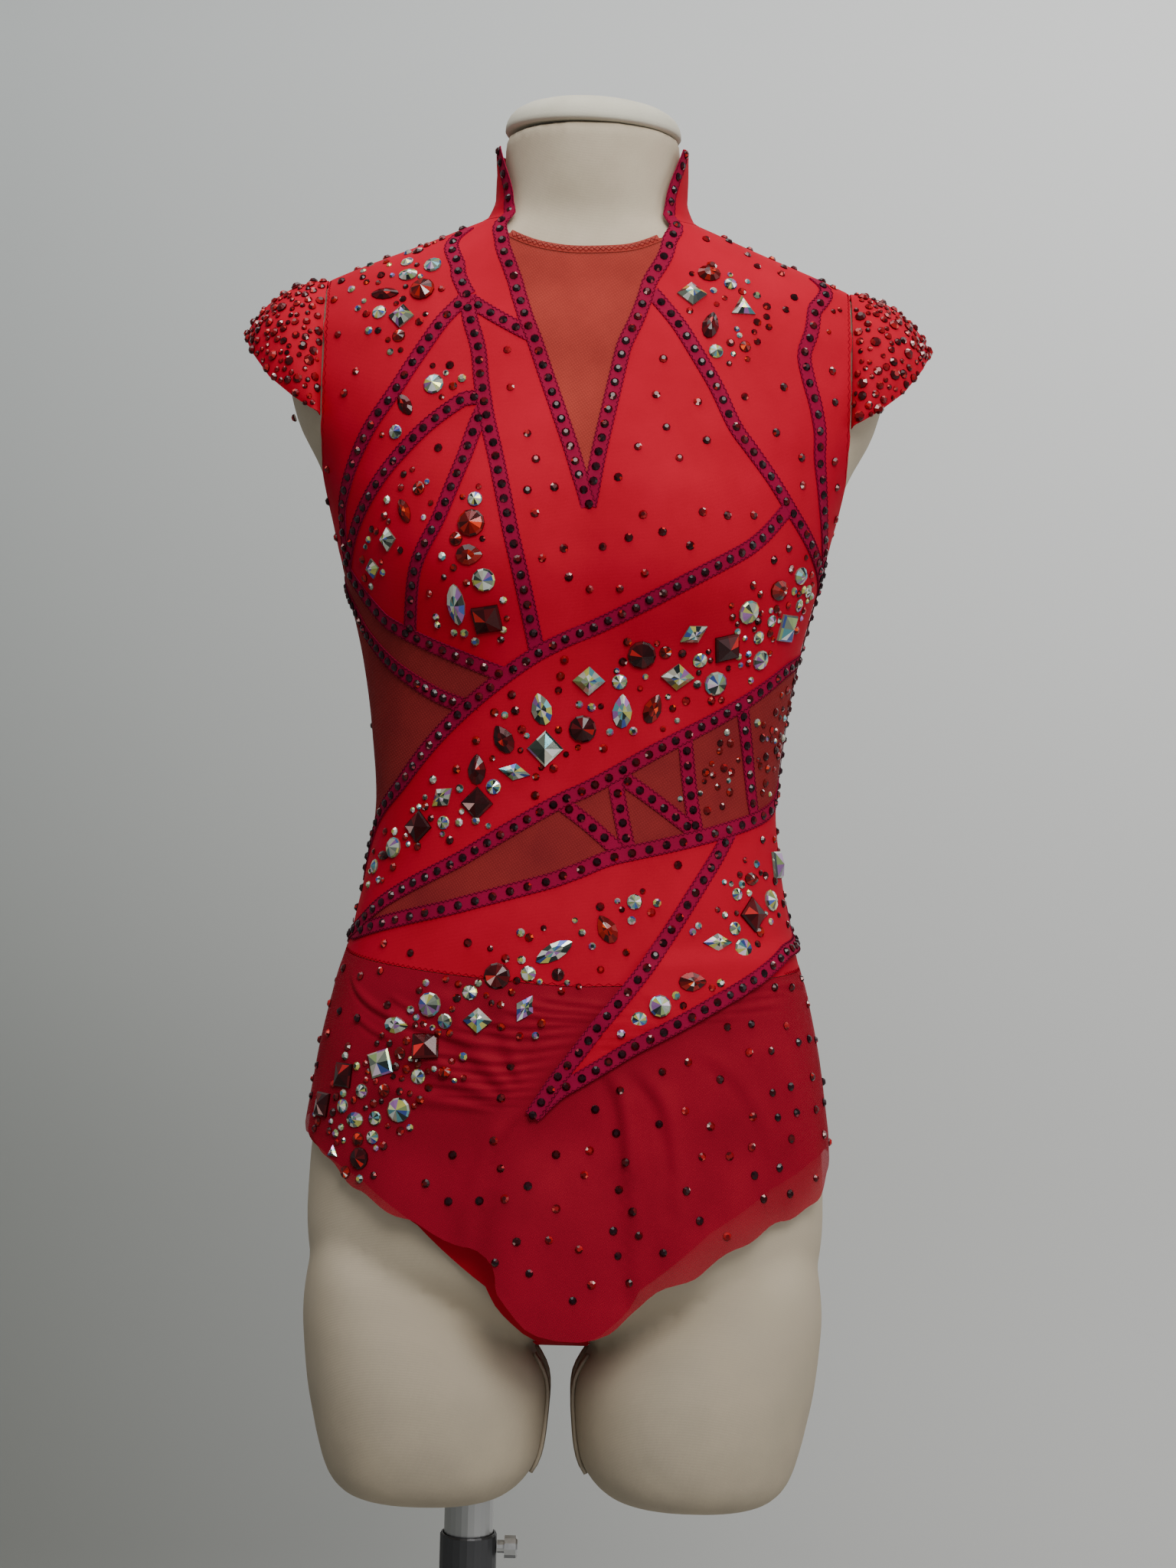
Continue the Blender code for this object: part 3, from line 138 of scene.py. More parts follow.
# Centre lines of the tapes as (turn, height), in the order they are laid; an earlier tape is whole
# and a later one stops against it
TAPES = {
    "v_left": [(-76, 1306), (-63, 1288), (-54, 1271), (-43, 1260), (-28, 1246), (-16, 1224), (-9, 1184),
               (1, 1084)],
    "v_right": [(72, 1306), (59, 1288), (51, 1272), (42, 1261), (27, 1249), (18, 1235), (12, 1220),
                (6, 1180), (1, 1084)],
    "strap_left": [(-57, 1256), (-51, 1249), (-38, 1238), (-31, 1230), (-27, 1221), (-23, 1210)],
    "bust_left": [(-23, 1210), (-35, 1158), (-44, 1134), (-68, 1085), (-74, 1052), (-70, 1041),
                  (-55, 1017), (-18, 987)],
    "sash_top": [(49, 1088), (43, 1072), (37, 1061), (-9, 999), (-55, 924), (-76, 898), (-92, 864)],
    "sash_bottom": [(92, 1005), (68, 994), (35, 961), (17, 941), (-29, 879), (-58, 851), (-75, 834),
                    (-92, 827)],
    "waist_bottom": [(-87, 834), (-73, 831), (-32, 849), (-5, 867), (9, 882), (45, 899), (74, 912),
                     (93, 929)],
    "princess_left": [(-23, 1210), (-19, 1175), (-17, 1110), (-9, 1000)],
    "cross_left": [(-23, 1208), (-8, 1183)],
    "arc_outer": [(-17, 1146), (-22, 1146), (-54, 1088), (-73, 1052)],
    "arc_inner": [(-18, 1142), (-31, 1076), (-40, 1046), (-46, 1008)],
    "bust_right": [(12, 1214), (24, 1154), (30, 1130), (50, 1089), (68, 1064), (92, 1042)],
    "side_right": [(67, 1232), (49, 1210), (44, 1189), (43, 1179), (45, 1161), (54, 1123), (73, 1073),
                   (88, 1045), (90, 1002), (90, 929)],
    "under_bust": [(-92, 1044), (-78, 1027), (-70, 1011), (-56, 992), (-38, 974), (-26, 966)],
    "point_left": [(47, 899), (27, 850), (5, 785), (-5, 731)],
    "point_right": [(93, 854), (88, 833), (66, 826), (34, 799), (12, 773), (1, 752), (-5, 731)],
    "waist_1": [(-4, 915), (11, 884)],
    "waist_2": [(9, 928), (13, 884)],
    "waist_3": [(9, 931), (36, 893)],
    "waist_4": [(28, 954), (34, 893)],
    "waist_5": [(47, 975), (60, 906)],
}
# Tapes that only lie on a panel; the others also cover a seam between two panels
LAID_ON = {"strap_left", "princess_left", "cross_left", "arc_outer", "arc_inner", "side_right",
           "waist_1", "waist_2", "waist_3"}
BUST_SEAM_FROM = 3      # the bust tapes cover a seam only from about this point of their lines
NECK_LINE = [(-28, 1250), (-15, 1243), (-6, 1240), (2, 1240), (11, 1242), (23, 1249)]
BINDING_WIDTH = 4.0
HIP_LINE = [(-180, 816), (-90, 821), (-71, 818), (0, 806), (90, 815), (180, 816)]
HEM_FRONT = [(-90, 717), (-76, 711), (-65, 706), (-56, 695), (-46, 682), (-30, 668), (-16, 653), (-11, 645),
             (-10, 629), (-5, 611), (2, 603), (7, 606), (11, 619), (16, 630), (24, 641), (36, 658), (49, 669),
             (61, 677), (70, 689), (80, 698), (90, 703)]
LEG_FRONT = [(9, 591), (10, 606), (13, 630), (28, 664), (46, 689), (64, 702), (90, 712)]
LEG_BACK = [(13, 591), (18, 604), (32, 628), (52, 662), (72, 692), (90, 712)]

# A point inside each panel of the front picks it out of what the seams cut
PANEL_SEEDS = {
    "neck_mesh": (3, 1205),
    "bodice_front": (-30, 1110),
    "under_bust_mesh": (-50, 1003),
    "side_mesh": (-72, 960),
    "sash": (0, 960),
    "waist_mesh": (-20, 872),
    "waist_panel": (43, 930),
    "waist_side_panel": (70, 950),
    "hip_left": (-20, 830),
    "hip_right": (75, 818),
}

# Large and medium flat-backed stones, lengths and widths in millimetres, lean in degrees
Stone = namedtuple("Stone", "cut colour turn height length width lean", defaults=(None, 0))
STONES = [Stone(*row) for row in (
    ("round", "red", -34, 1214, 15),
    ("lozenge", "clear", -36, 1197, 16),
    ("round", "clear", -28, 1155, 12),
    ("navette", "dark", -35, 1143, 15, 8, -55),
    ("navette", "red", -41, 1080, 16, 8, -60),
    ("lozenge", "clear", -48, 1064, 14),
    ("lozenge", "clear", -57, 1048, 14, 12),
    ("round", "red", -23, 1072, 16),
    ("drop", "red", -24, 1054, 16, 12),
    ("round", "clear", -21, 1040, 13.5),
    ("navette", "clear", -29, 1026, 25, 11, 90),
    ("square", "dark", -21, 1018, 16, 16, 10),
    ("oval", "red", 27, 1228, 14, 11),
    ("lozenge", "clear", 20, 1214, 18, 16),
    ("trilliant", "clear", 30, 1208, 14),
    ("drop", "dark", 22, 1195, 18, 10, 75),
    ("oval", "red", 53, 1041, 16, 12),
    ("round", "clear", 43, 1027, 14.4),
    ("square", "clear", 62, 1020, 16),
    ("lozenge", "clear", 27, 1013, 18, 12, 35),
    ("square", "dark", 38, 1006, 15.5, 15.5, 15),
    ("round", "clear", 52, 1000, 12),
    ("round", "dark", 14, 1000, 16.5),
    ("lozenge", "clear", 24, 988, 20, 16),
    ("round", "clear", 36, 985, 14.4),
    ("lozenge", "clear", 2, 984, 19, 17),
    ("drop", "red", 18, 969, 18, 10.5, 70),
    ("drop", "clear", 10, 967, 20, 11.5, 90),
    ("drop", "clear", -8, 967, 19, 12, 105),
    ("round", "dark", 1, 956, 16),
    ("drop", "dark", -18, 949, 18, 11.5, 120),
    ("square", "clear", -7, 944, 15, 15, 45),
    ("lozenge", "clear", -15, 930, 19, 10, -10),
    ("drop", "dark", -26, 931, 18, 11, 90),
    ("lozenge", "clear", -38, 914, 17, 12, 40),
    ("square", "dark", -26, 911, 14, 14, 45),
    ("square", "dark", -47, 896, 14, 14, 45),
    ("round", "clear", -58, 883, 12.5),
    ("square", "clear", 76, 878, 16),
    ("round", "clear", 65, 857, 13),
    ("square", "dark", 53, 849, 15, 15, 45),
    ("round", "clear", 46, 829, 12.5),
    ("drop", "red", 7, 840, 18, 11, 120),
    ("navette", "clear", -3, 826, 24, 10, 30),
    ("round", "clear", -31, 793, 14.4),
    ("lozenge", "clear", -8, 793, 18, 11, 60),
    ("lozenge", "clear", -18, 785, 17, 15),
    ("square", "dark", -30, 769, 15.5, 15.5, 5),
    ("square", "clear", -43, 757, 14.5, 14.5, 20),
    ("square", "dark", -57, 748, 14),
    ("round", "clear", -35, 731, 14.4),
    ("square", "dark", -66, 729, 14),
    ("round", "dark", -46, 701, 13),
    ("round", "clear", -38, 1230, 11),
    ("oval", "clear", -41, 1224, 12, 9),
    ("round", "clear", -49, 1233, 8),
    ("navette", "dark", -43, 1212, 18, 8.1),
    ("round", "clear", -42, 1200, 9),
    ("round", "dark", -56, 1241, 7),
    ("round", "red", -36, 1185, 8),
    ("round", "clear", -39, 1127, 8.5),
    ("round", "red", -36, 1093, 8),
    ("round", "clear", -22, 1086, 8.7),
    ("round", "red", -27, 1063, 8),
    ("round", "clear", 30, 1222, 8),
    ("round", "red", 30, 1233, 6.5),
    ("round", "clear", 23, 1179, 8.7),
    ("round", "red", 29, 1183, 7),
    ("oval", "clear", 62, 1051, 14, 10.5),
    ("round", "clear", 70, 1043, 8),
    ("round", "clear", 66, 1034, 8),
    ("round", "clear", 53, 1023, 7.5),
    ("round", "clear", 49, 1013, 8),
    ("round", "red", 20, 1002, 7.5),
    ("round", "clear", 30, 998, 9),
    ("round", "clear", 9, 984, 9),
    ("round", "clear", -21, 921, 9),
    ("round", "clear", -37, 899, 8),
    ("navette", "dark", -64, 878, 12, 5.4),
    ("round", "clear", -70, 871, 9),
    ("drop", "red", 55, 870, 12, 7.8),
    ("round", "clear", 47, 861, 7.5),
    ("round", "clear", 44, 841, 8),
    ("round", "red", 55, 839, 6.5),
    ("lozenge", "clear", 37, 833, 19, 10.5),
    ("round", "red", 39, 821, 7),
    ("round", "clear", 33, 817, 8.5),
    ("drop", "red", 27, 810, 17, 11.1),
    ("round", "clear", 18, 796, 13),
    ("round", "clear", 13, 788, 9.5),
    ("round", "clear", 14, 856, 9),
    ("round", "dark", -2, 813, 7.5),
    ("round", "clear", -8, 813, 9),
    ("round", "dark", -15, 811, 15.5),
    ("round", "clear", -21, 801, 9),
    ("round", "clear", -26, 784, 9),
    ("drop", "clear", -40, 780, 16, 10.4),
    ("round", "red", -37, 764, 7.5),
    ("round", "red", -24, 755, 7.5),
    ("round", "clear", -31, 751, 9),
    ("round", "red", -40, 742, 7.5),
    ("round", "clear", -48, 740, 8.5),
    ("round", "clear", -55, 730, 8.5),
    ("oval", "clear", -49, 723, 12, 9),
    ("round", "clear", -42, 725, 8.5),
    ("round", "clear", -42, 714, 8),
    ("round", "red", -47, 712, 8),
    ("trilliant", "clear", -57, 703, 8, 7.2),
    ("round", "red", -51, 692, 7.5),
)]

# Soft ridges and hollows of the skirt: turns at the hem and where they start, width and depth
Flounce = namedtuple("Flounce", "turn start width depth")
FLOUNCES = [Flounce(*row) for row in (
    (-9, -5, 6, 7), (1, 1, 9, 5), (11, 7, 3, -2), (21, 18, 6, 5),
    (38, 36, 7, 3), (-38, -38, 9, 3), (68, 68, 9, 4), (-70, -70, 10, 4),
    (112, 112, 10, 5), (146, 146, 10, 6), (178, 178, 9, 5),
    (-150, -150, 10, 6), (-118, -118, 10, 5),
)]

SLEEVE_FOOT = 1140.0    # where the sleeve's seam ends at the front and back of the armhole
SLEEVE_TOP = 1225.0
SLEEVE_SPACE = 1.4      # from the armhole's edge to the sleeve
SLEEVE_BULGE = 9.0
SLEEVE_MIDDLE = Vector((150, 8, 1160))

Pull = namedtuple("Pull", "turn height lean length width rise")
PULLS = [Pull(*row) for row in (
    (0, 1062, 0, 20, 6, -0.5), (-14, 1128, 70, 24, 5, 0.3), (60, 1120, -50, 26, 5, 0.4),
    (-62, 1108, 55, 24, 5, 0.4), (140, 934, 8, 42, 6, 1.5), (-150, 928, -8, 44, 6, 1.4),
    (160, 906, 12, 36, 6, 1.3), (-128, 904, -10, 36, 6, 1.5), (-52, 846, 16, 24, 4, 0.4),
    (116, 914, 14, 30, 5, 1.0), (-168, 886, 6, 30, 6, 1.0), (132, 1180, 60, 30, 6, 1.0),
    (-134, 1176, -60, 32, 6, 1.0),
)]

DEEPEST_FOLD = -0.7     # keeps the skirt clear of the brief

# Small folds drawn towards the tip of the pointed piece, as lines of turns and heights
Crease = namedtuple("Crease", "line width rise")
CREASES = [Crease(*row) for row in (
    ([(-70, 813), (-60, 799), (-49, 789), (-35, 781), (-22, 774), (-11, 769), (-1, 768)], 2.6, 1.2),
    ([(-22, 785), (-14, 784), (-6, 783), (4, 787)], 1.9, 0.9),
    ([(-24, 781), (-15, 779), (-7, 777), (3, 781)], 1.9, 1.0),
    ([(-20, 774), (-12, 771), (-6, 770), (2, 775)], 1.8, 0.9),
    ([(-36, 769), (-28, 766), (-20, 764), (-11, 762), (0, 768)], 2.0, 1.1),
    ([(-32, 761), (-22, 758), (-12, 756), (-1, 761)], 1.9, 1.0),
    ([(-29, 755), (-20, 752), (-12, 751), (-3, 754)], 1.9, 1.0),
    ([(-32, 748), (-22, 747), (-12, 746), (-3, 749)], 1.9, 0.9),
    ([(-27, 742), (-18, 742), (-9, 742), (-3, 744)], 1.8, 0.8),
    ([(-18, 738), (-12, 738), (-6, 739)], 1.8, 0.6),
    ([(-6, 800), (1, 797), (8, 795)], 1.7, 0.7),
    ([(-10, 797), (-3, 793), (7, 791)], 1.7, 0.8),
    ([(-14, 793), (-6, 789), (6, 788)], 1.7, 0.9),
    ([(-46, 798), (-36, 790), (-26, 787)], 2.0, 0.6),
    ([(-60, 786), (-48, 776), (-38, 771)], 2.2, 0.7),
    ([(4, 784), (11, 785), (20, 785)], 1.7, 0.9),
    ([(3, 779), (10, 780), (16, 781)], 1.7, 0.8),
    ([(1, 772), (6, 774), (10, 777)], 1.7, 0.7),
    ([(7, 792), (12, 790), (16, 789)], 1.7, 0.6),
    ([(13, 803), (18, 800), (23, 799)], 1.7, 0.6),
    ([(27, 803), (48, 807), (70, 807), (90, 805)], 2.2, 0.8),
    ([(34, 799), (48, 802), (66, 804)], 2.0, 0.7),
    ([(28, 793), (44, 795), (58, 797)], 2.0, 0.6),
    ([(20, 788), (30, 789), (42, 790)], 2.0, 0.5),
    ([(3, 767), (7, 757), (9, 742), (10, 720), (11, 680), (12, 630), (12, 600)], 4.2, 3.0),
    ([(10, 766), (14, 756), (18, 738), (20, 712), (21, 680), (21, 650)], 5.0, 1.7),
    ([(-8, 738), (-11, 722), (-14, 700), (-16, 676), (-17, 655), (-17, 640)], 5.0, 2.4),
    ([(24, 774), (34, 760), (42, 738), (46, 712), (48, 684)], 5.0, 1.0),
)]

# Tight groups of small stones: their middles, spreads and how many places to try
Group = namedtuple("Group", "turn height wide tall tries")
GROUPS = [Group(*row) for row in (
    (43, 938, 5, 16, 60), (68, 950, 7, 16, 60), (27, 918, 3, 6, 12),
    (80, 1190, 4, 10, 12), (-60, 1215, 8, 12, 20), (58, 1218, 8, 10, 30),
)]

# Zones of single stones: turns, heights, how many places to try, colours and least space between
Field = namedtuple("Field", "turn_low turn_high low high tries colours space")
FIELDS = [Field(*row) for row in (
    (-25, 60, 990, 1245, 420, ("dark", "siam", "siam"), 9.0),
    (-90, -25, 1060, 1262, 300, ("dark", "siam", "siam"), 8.0),
    (-90, 90, 800, 1000, 420, ("dark", "siam", "dark"), 7.0),
    (40, 90, 1040, 1262, 260, ("dark", "siam"), 7.0),
    (-88, 88, 600, 812, 560, ("dark", "garnet", "siam"), 9.0),
    (92, 268, 700, 1255, 220, ("dark", "siam"), 20.0),
)]

# Facet colours of each kind of stone: its usual facets, whose spread from dark to bright is painted light
# over the stone's own colour, and the few painted glints
STONE_COLOURS = {
    "garnet": ([(0.010, 0.001, 0.003), (0.016, 0.002, 0.005), (0.02, 0.003, 0.006)],
               [(0.30, 0.04, 0.06), (0.06, 0.006, 0.01)]),
    "dark": ([(0.020, 0.001, 0.002), (0.04, 0.002, 0.003), (0.09, 0.003, 0.005), (0.03, 0.001, 0.002)],
             [(0.60, 0.02, 0.02), (0.8, 0.45, 0.42), (0.40, 0.01, 0.012)]),
    "siam": ([(0.06, 0.002, 0.004), (0.22, 0.004, 0.008), (0.36, 0.008, 0.012), (0.12, 0.002, 0.004)],
             [(0.85, 0.10, 0.08), (0.95, 0.6, 0.55)]),
    "red": ([(0.10, 0.003, 0.003), (0.30, 0.008, 0.006), (0.04, 0.002, 0.002), (0.18, 0.004, 0.004)],
            [(0.85, 0.08, 0.01), (0.9, 0.8, 0.75), (0.75, 0.04, 0.01)]),
    "clear": ([(0.24, 0.28, 0.22), (0.80, 0.84, 0.78), (0.02, 0.03, 0.03), (0.12, 0.34, 0.38),
               (0.06, 0.10, 0.36), (0.60, 0.58, 0.14), (0.30, 0.40, 0.16), (0.36, 0.16, 0.42),
               (0.50, 0.55, 0.46), (0.05, 0.06, 0.05), (0.55, 0.52, 0.42)],
              [(1.0, 1.0, 0.98), (0.80, 0.88, 0.40), (0.88, 0.66, 0.84)]),
}
CELL = 40.0             # stones are looked up in cells of this size, each with those next to it
NEXT_CELLS = [(x, y, z) for x in (-1, 0, 1) for y in (-1, 0, 1) for z in (-1, 0, 1)]
NECK_LINE_TOP = 1228.0  # no small stone lies above this near the front of the neck
NECK_MESH_FOOT = 1084.0
SIDE_MESH_TOP = 1045.0
TAPE_STONE = 5.1
TAPE_PITCH = 8.9        # from stone to stone in a tape; a few tapes have their own
TAPE_PITCHES = {"under_bust": 6.4, "waist_bottom": 10.6, "side_right": 9.6}
SKIRT_WALL = 0.35
SKIRT_TOP = 0.4         # stones on the skirt stand this far out

# Places and sizes in metres, power in watts
Lamp = namedtuple("Lamp", "name place target power wide tall colour")
LAMPS = [Lamp(*row) for row in (
    ("window", (0.55, -1.9, 2.4), (0, 0, 1.15), 46, 1.2, 1.0, (1.0, 0.985, 0.95)),
    ("ceiling", (-0.2, -0.3, 2.7), (0, 0, 1.2), 24, 1.6, 1.2, (1.0, 1.0, 1.0)),
    ("side", (1.9, -0.9, 1.7), (0, 0, 1.1), 7, 1.2, 1.4, (0.95, 0.97, 1.0)),
    ("wall", (1.3, 0.5, 2.3), (0.95, 1.62, 1.25), 6, 0.8, 0.8, (1.0, 1.0, 1.0)),
)]
ROOM_PROFILE = [(-2600, -0.5), (900, -0.5), (1300, 60), (1550, 300), (1620, 700), (1640, 3200)]

# Colours of the wall at its left and right edges, each from the floor up: painted light, darker at the lower
# left and brighter at the upper right
WALL_PAINTED_LIGHT = [
    ((0.22, 0.225, 0.205, 1), (0.61, 0.64, 0.635, 1)),
    ((0.57, 0.57, 0.555, 1), (0.98, 0.99, 0.985, 1)),
]


def smoothstep(low, high, value):
    t = min(1.0, max(0.0, (value - low) / (high - low)))
    return t * t * (3 - 2 * t)


def along(line, value, key=0):
    """The other coordinate of a line of pairs at a given turn (key 0) or height (key 1)."""
    pairs = sorted(line, key=lambda point: point[key])
    if value <= pairs[0][key]:
        return pairs[0][1 - key]
    for low, high in zip(pairs, pairs[1:]):
        if value <= high[key]:
            t = (value - low[key]) / max(high[key] - low[key], 1e-6)
            return low[1 - key] + (high[1 - key] - low[1 - key]) * t
    return pairs[-1][1 - key]


def rate(rows, index, column):
    """Slope of one column of a table of sections, level at every high and low."""
    low = rows[max(index - 1, 0)]
    here = rows[index]
    high = rows[min(index + 1, len(rows) - 1)]
    if low is here or high is here:
        return (high[column] - low[column]) / (high.height - low.height)
    below = (here[column] - low[column]) / (here.height - low.height)
    above = (high[column] - here[column]) / (high.height - here.height)
    if below * above <= 0:
        return 0.0
    return 2 * below * above / (below + above)


def row_at(rows, height):
    """The sizes that a table of sections has at a height, eased from row to row."""
    height = min(max(height, rows[0].height), rows[-1].height)
    index = 0
    while index < len(rows) - 2 and rows[index + 1].height <= height:
        index += 1
    low, high = rows[index], rows[index + 1]
    span = high.height - low.height
    t = (height - low.height) / span
    values = [height]
    for column in range(1, len(low)):
        start = rate(rows, index, column) * span
        end = rate(rows, index + 1, column) * span
        values.append((2 * t**3 - 3 * t**2 + 1) * low[column] + (t**3 - 2 * t**2 + t) * start
                      + (3 * t**2 - 2 * t**3) * high[column] + (t**3 - t**2) * end)
    return type(low)(*values)


def section_at(height):
    return row_at(SECTIONS, height)


def cup_lift(x, height):
    rise = height - CUP.height
    reach = CUP.above if rise > 0 else CUP.below
    return CUP.lift * math.exp(-((abs(x) - CUP.across) / CUP.wide)**2 / 2 - (rise / reach)**2 / 2)


def skin(turn, height, shape_height=None):
    """A point of the body; shape_height takes its section from another height."""
    shape = section_at(height if shape_height is None else shape_height)
    side = math.sin(math.radians(turn))
    ahead = math.cos(math.radians(turn))
    power = 2 / shape.squareness
    x = shape.half_width * math.copysign(abs(side)**power, side)
    if ahead >= 0:
        y = shape.centre - shape.front * ahead**power - cup_lift(x, shape.height) * min(1, ahead * 1.6)
    else:
        y = shape.centre + shape.back * abs(ahead)**power
    return Vector((x, y, height))


def outward(turn, height):
    step = 0.5
    across = skin(turn + step, height) - skin(turn - step, height)
    up = skin(turn, min(height + step, BODY_TOP)) - skin(turn, max(height - step, BODY_BOTTOM))
    return across.cross(up).normalized()


def ease(height):
    """The collar stands off the neck by this much."""
    return COLLAR_EASE * smoothstep(NECK_SEAM - 6, NECK_SEAM + 14, height)


def cloth(turn, height, out):
    return skin(turn, height) + outward(turn, height) * (out + ease(height))


def hip_height(turn):
    return along(HIP_LINE, (turn + 180) % 360 - 180)


def over_skirt(turn, height, out):
    """Like cloth, lifted below the hip seam so that it passes over the skirt."""
    hip = along(HIP_LINE, turn)
    return cloth(turn, height, out + APPLIQUE_LIFT * (1 - smoothstep(hip + 9, hip + 24, height)))


def hanging(turn, height, out):
    """The skirt: on the hip at its seam, then hanging straight from the fullest part."""
    level = max(height, HANG)
    across = skin(turn + 0.5, level) - skin(turn - 0.5, level)
    away = across.cross(Vector((0, 0, 1))).normalized()
    return skin(turn, height, level) + away * (out + SKIRT_BASE + flare(turn, height))


def flare(turn, height):
    hip = along(HIP_LINE, turn)
    drop = hip - height
    lift = 4.0 * smoothstep(75, 170, drop)
    for fold in FLOUNCES:
        here = fold.turn + (fold.start - fold.turn) * smoothstep(640, 740, height)
        away = (turn - here + 180) % 360 - 180
        lift += fold.depth * math.exp(-(away / fold.width)**2) * smoothstep(80, 150, drop)
    return lift + gathers(turn, height)


def gathers(turn, height):
    """Small folds that fan out from the tip of the pointed front piece towards the left hip."""
    tip_turn, tip_height = TAPES["point_left"][-1]
    across = (tip_turn - turn) * PLAN
    up = height - tip_height
    reach = math.hypot(across, up)
    angle = math.degrees(math.atan2(up, across))
    beside = smoothstep(3, 9, along(TAPES["point_left"], height, 1) - turn)
    fade = smoothstep(12, 30, reach) * (1 - smoothstep(70, 110, reach))
    fan = smoothstep(0, 12, angle) * (1 - smoothstep(70, 84, angle))
    below_seam = smoothstep(6, 14, along(HIP_LINE, turn) - height)
    return 1.1 * (1 + math.sin(math.radians(angle * 15))) * beside * fade * fan * below_seam


def plan(turn, height):
    """A place laid flat, in plan millimetres."""
    return Vector((turn * PLAN, height))


def smooth_line(points, step):
    """A curve through the points in plan millimetres, sampled about every step."""
    flat = [plan(turn, height) for turn, height in points]
    ends = [flat[0] * 2 - flat[1]] + flat + [flat[-1] * 2 - flat[-2]]
    line = []
    for a, b, c, d in zip(ends, ends[1:], ends[2:], ends[3:]):
        count = max(1, round((c - b).length / step))
        pull = min((b - a).length, (c - b).length, (d - c).length)
        start = (c - a).normalized() * pull
        end = (d - b).normalized() * pull
        for index in range(count):
            t = index / count
            line.append(b * (2 * t**3 - 3 * t**2 + 1) + start * (t**3 - 2 * t**2 + t)
                        + c * (3 * t**2 - 2 * t**3) + end * (t**3 - t**2))
    return line + [flat[-1]]


def stretch(point):
    """How true millimetres along the body change with plan millimetres, as the three products."""
    turn, height = point.x / PLAN, point.y
    step = 0.5
    across = (skin(turn + step, height) - skin(turn - step, height)) / PLAN
    up = skin(turn, min(height + step, BODY_TOP)) - skin(turn, max(height - step, BODY_BOTTOM))
    return across.dot(across), across.dot(up), up.dot(up)


def aside_of(point, ahead):
    """The plan vector that is one true millimetre long and square to a direction on the body."""
    aa, ab, bb = stretch(point)
    share = aa * bb - ab * ab
    normal = Vector((-ahead.y, ahead.x))
    square = Vector(((bb * normal.x - ab * normal.y) / share, (aa * normal.y - ab * normal.x) / share))
    return square / math.sqrt(square.dot(normal))


def strip(line, half_width, beyond=0.0):
    """The outline of a band of even width along a plan line."""
    left, right = [], []
    last = len(line) - 1
    for index, point in enumerate(line):
        ahead = (line[min(index + 1, last)] - line[max(index - 1, 0)]).normalized()
        aside = aside_of(point, ahead) * half_width
        reach = ahead * (beyond if index == last else -beyond if index == 0 else 0)
        left.append(point + aside + reach)
        right.append(point - aside + reach)
    return left + right[::-1]


def inside(point, outline):
    """True where the outline winds round the point, also where the outline overlaps itself."""
    winding = 0
    for a, b in zip(outline, outline[1:] + outline[:1]):
        if (a.y <= point.y) != (b.y <= point.y):
            side = (b.x - a.x) * (point.y - a.y) - (point.x - a.x) * (b.y - a.y)
            if b.y > a.y and side > 0:
                winding += 1
            elif b.y <= a.y and side < 0:
                winding -= 1
    return winding != 0


def patches(triangles):
    """Groups of triangles that share edges."""
    by_edge = {}
    for index, triangle in enumerate(triangles):
        for a, b in zip(triangle, triangle[1:] + triangle[:1]):
            by_edge.setdefault((min(a, b), max(a, b)), []).append(index)
    beside = {index: [] for index in range(len(triangles))}
    for pair in by_edge.values():
        if len(pair) == 2:
            beside[pair[0]].append(pair[1])
            beside[pair[1]].append(pair[0])
    groups = []
    left = set(beside)
    while left:
        stack = [left.pop()]
        group = []
        while stack:
            index = stack.pop()
            group.append(index)
            for other in beside[index]:
                if other in left:
                    left.remove(other)
                    stack.append(other)
        groups.append([triangles[index] for index in group])
    return groups


def armhole_turn(height):
    """Turn where the armhole plane cuts the front of the body; 90 outside its reach."""
    shape = section_at(height)
    share = ARMHOLE_X / shape.half_width
    if share >= 1 or height < 1080:
        return 90.0
    return math.degrees(math.asin(share**(shape.squareness / 2)))


def front_outline():
    """The whole front from hip seam to neck, in plan millimetres."""
    seam = SEAM / PLAN
    points = [(turn, along(HIP_LINE, turn) + SEAM) for turn in range(-90, 91, 10)]
    points[0] = (-90 + seam, points[0][1])
    points[-1] = (90 - seam, points[-1][1])
    side = list(range(840, 1100, 20)) + [1108, 1116, 1126, 1140, 1155, 1170, 1185, 1200, 1212, 1220,
                                        1225, 1233, 1241, 1249, 1256, NECK_EDGE]
    points += [(min(armhole_turn(z), 90) - seam, z) for z in side]
    points += [(66, NECK_EDGE), (46, NECK_EDGE), (36, 1254)] + NECK_LINE[::-1]
    points += [(-38, 1254), (-48, NECK_EDGE), (-66, NECK_EDGE)]
    points += [(seam - min(armhole_turn(z), 90), z) for z in side[::-1]]
    return [plan(turn, height) for turn, height in points]


def seam_strips():
    """The seams between the front panels, each a little longer than its tape so that they meet."""
    lines = {
        "v_left": TAPES["v_left"][1:],
        "v_right": TAPES["v_right"][1:],
        "bust_left": [(-93, 1058)] + TAPES["bust_left"][BUST_SEAM_FROM + 1:],
        "bust_right": TAPES["bust_right"][BUST_SEAM_FROM:],
    }
    return [strip(smooth_line(lines.get(label, line), EDGE), SEAM, 2.0)
            for label, line in TAPES.items() if label not in LAID_ON]


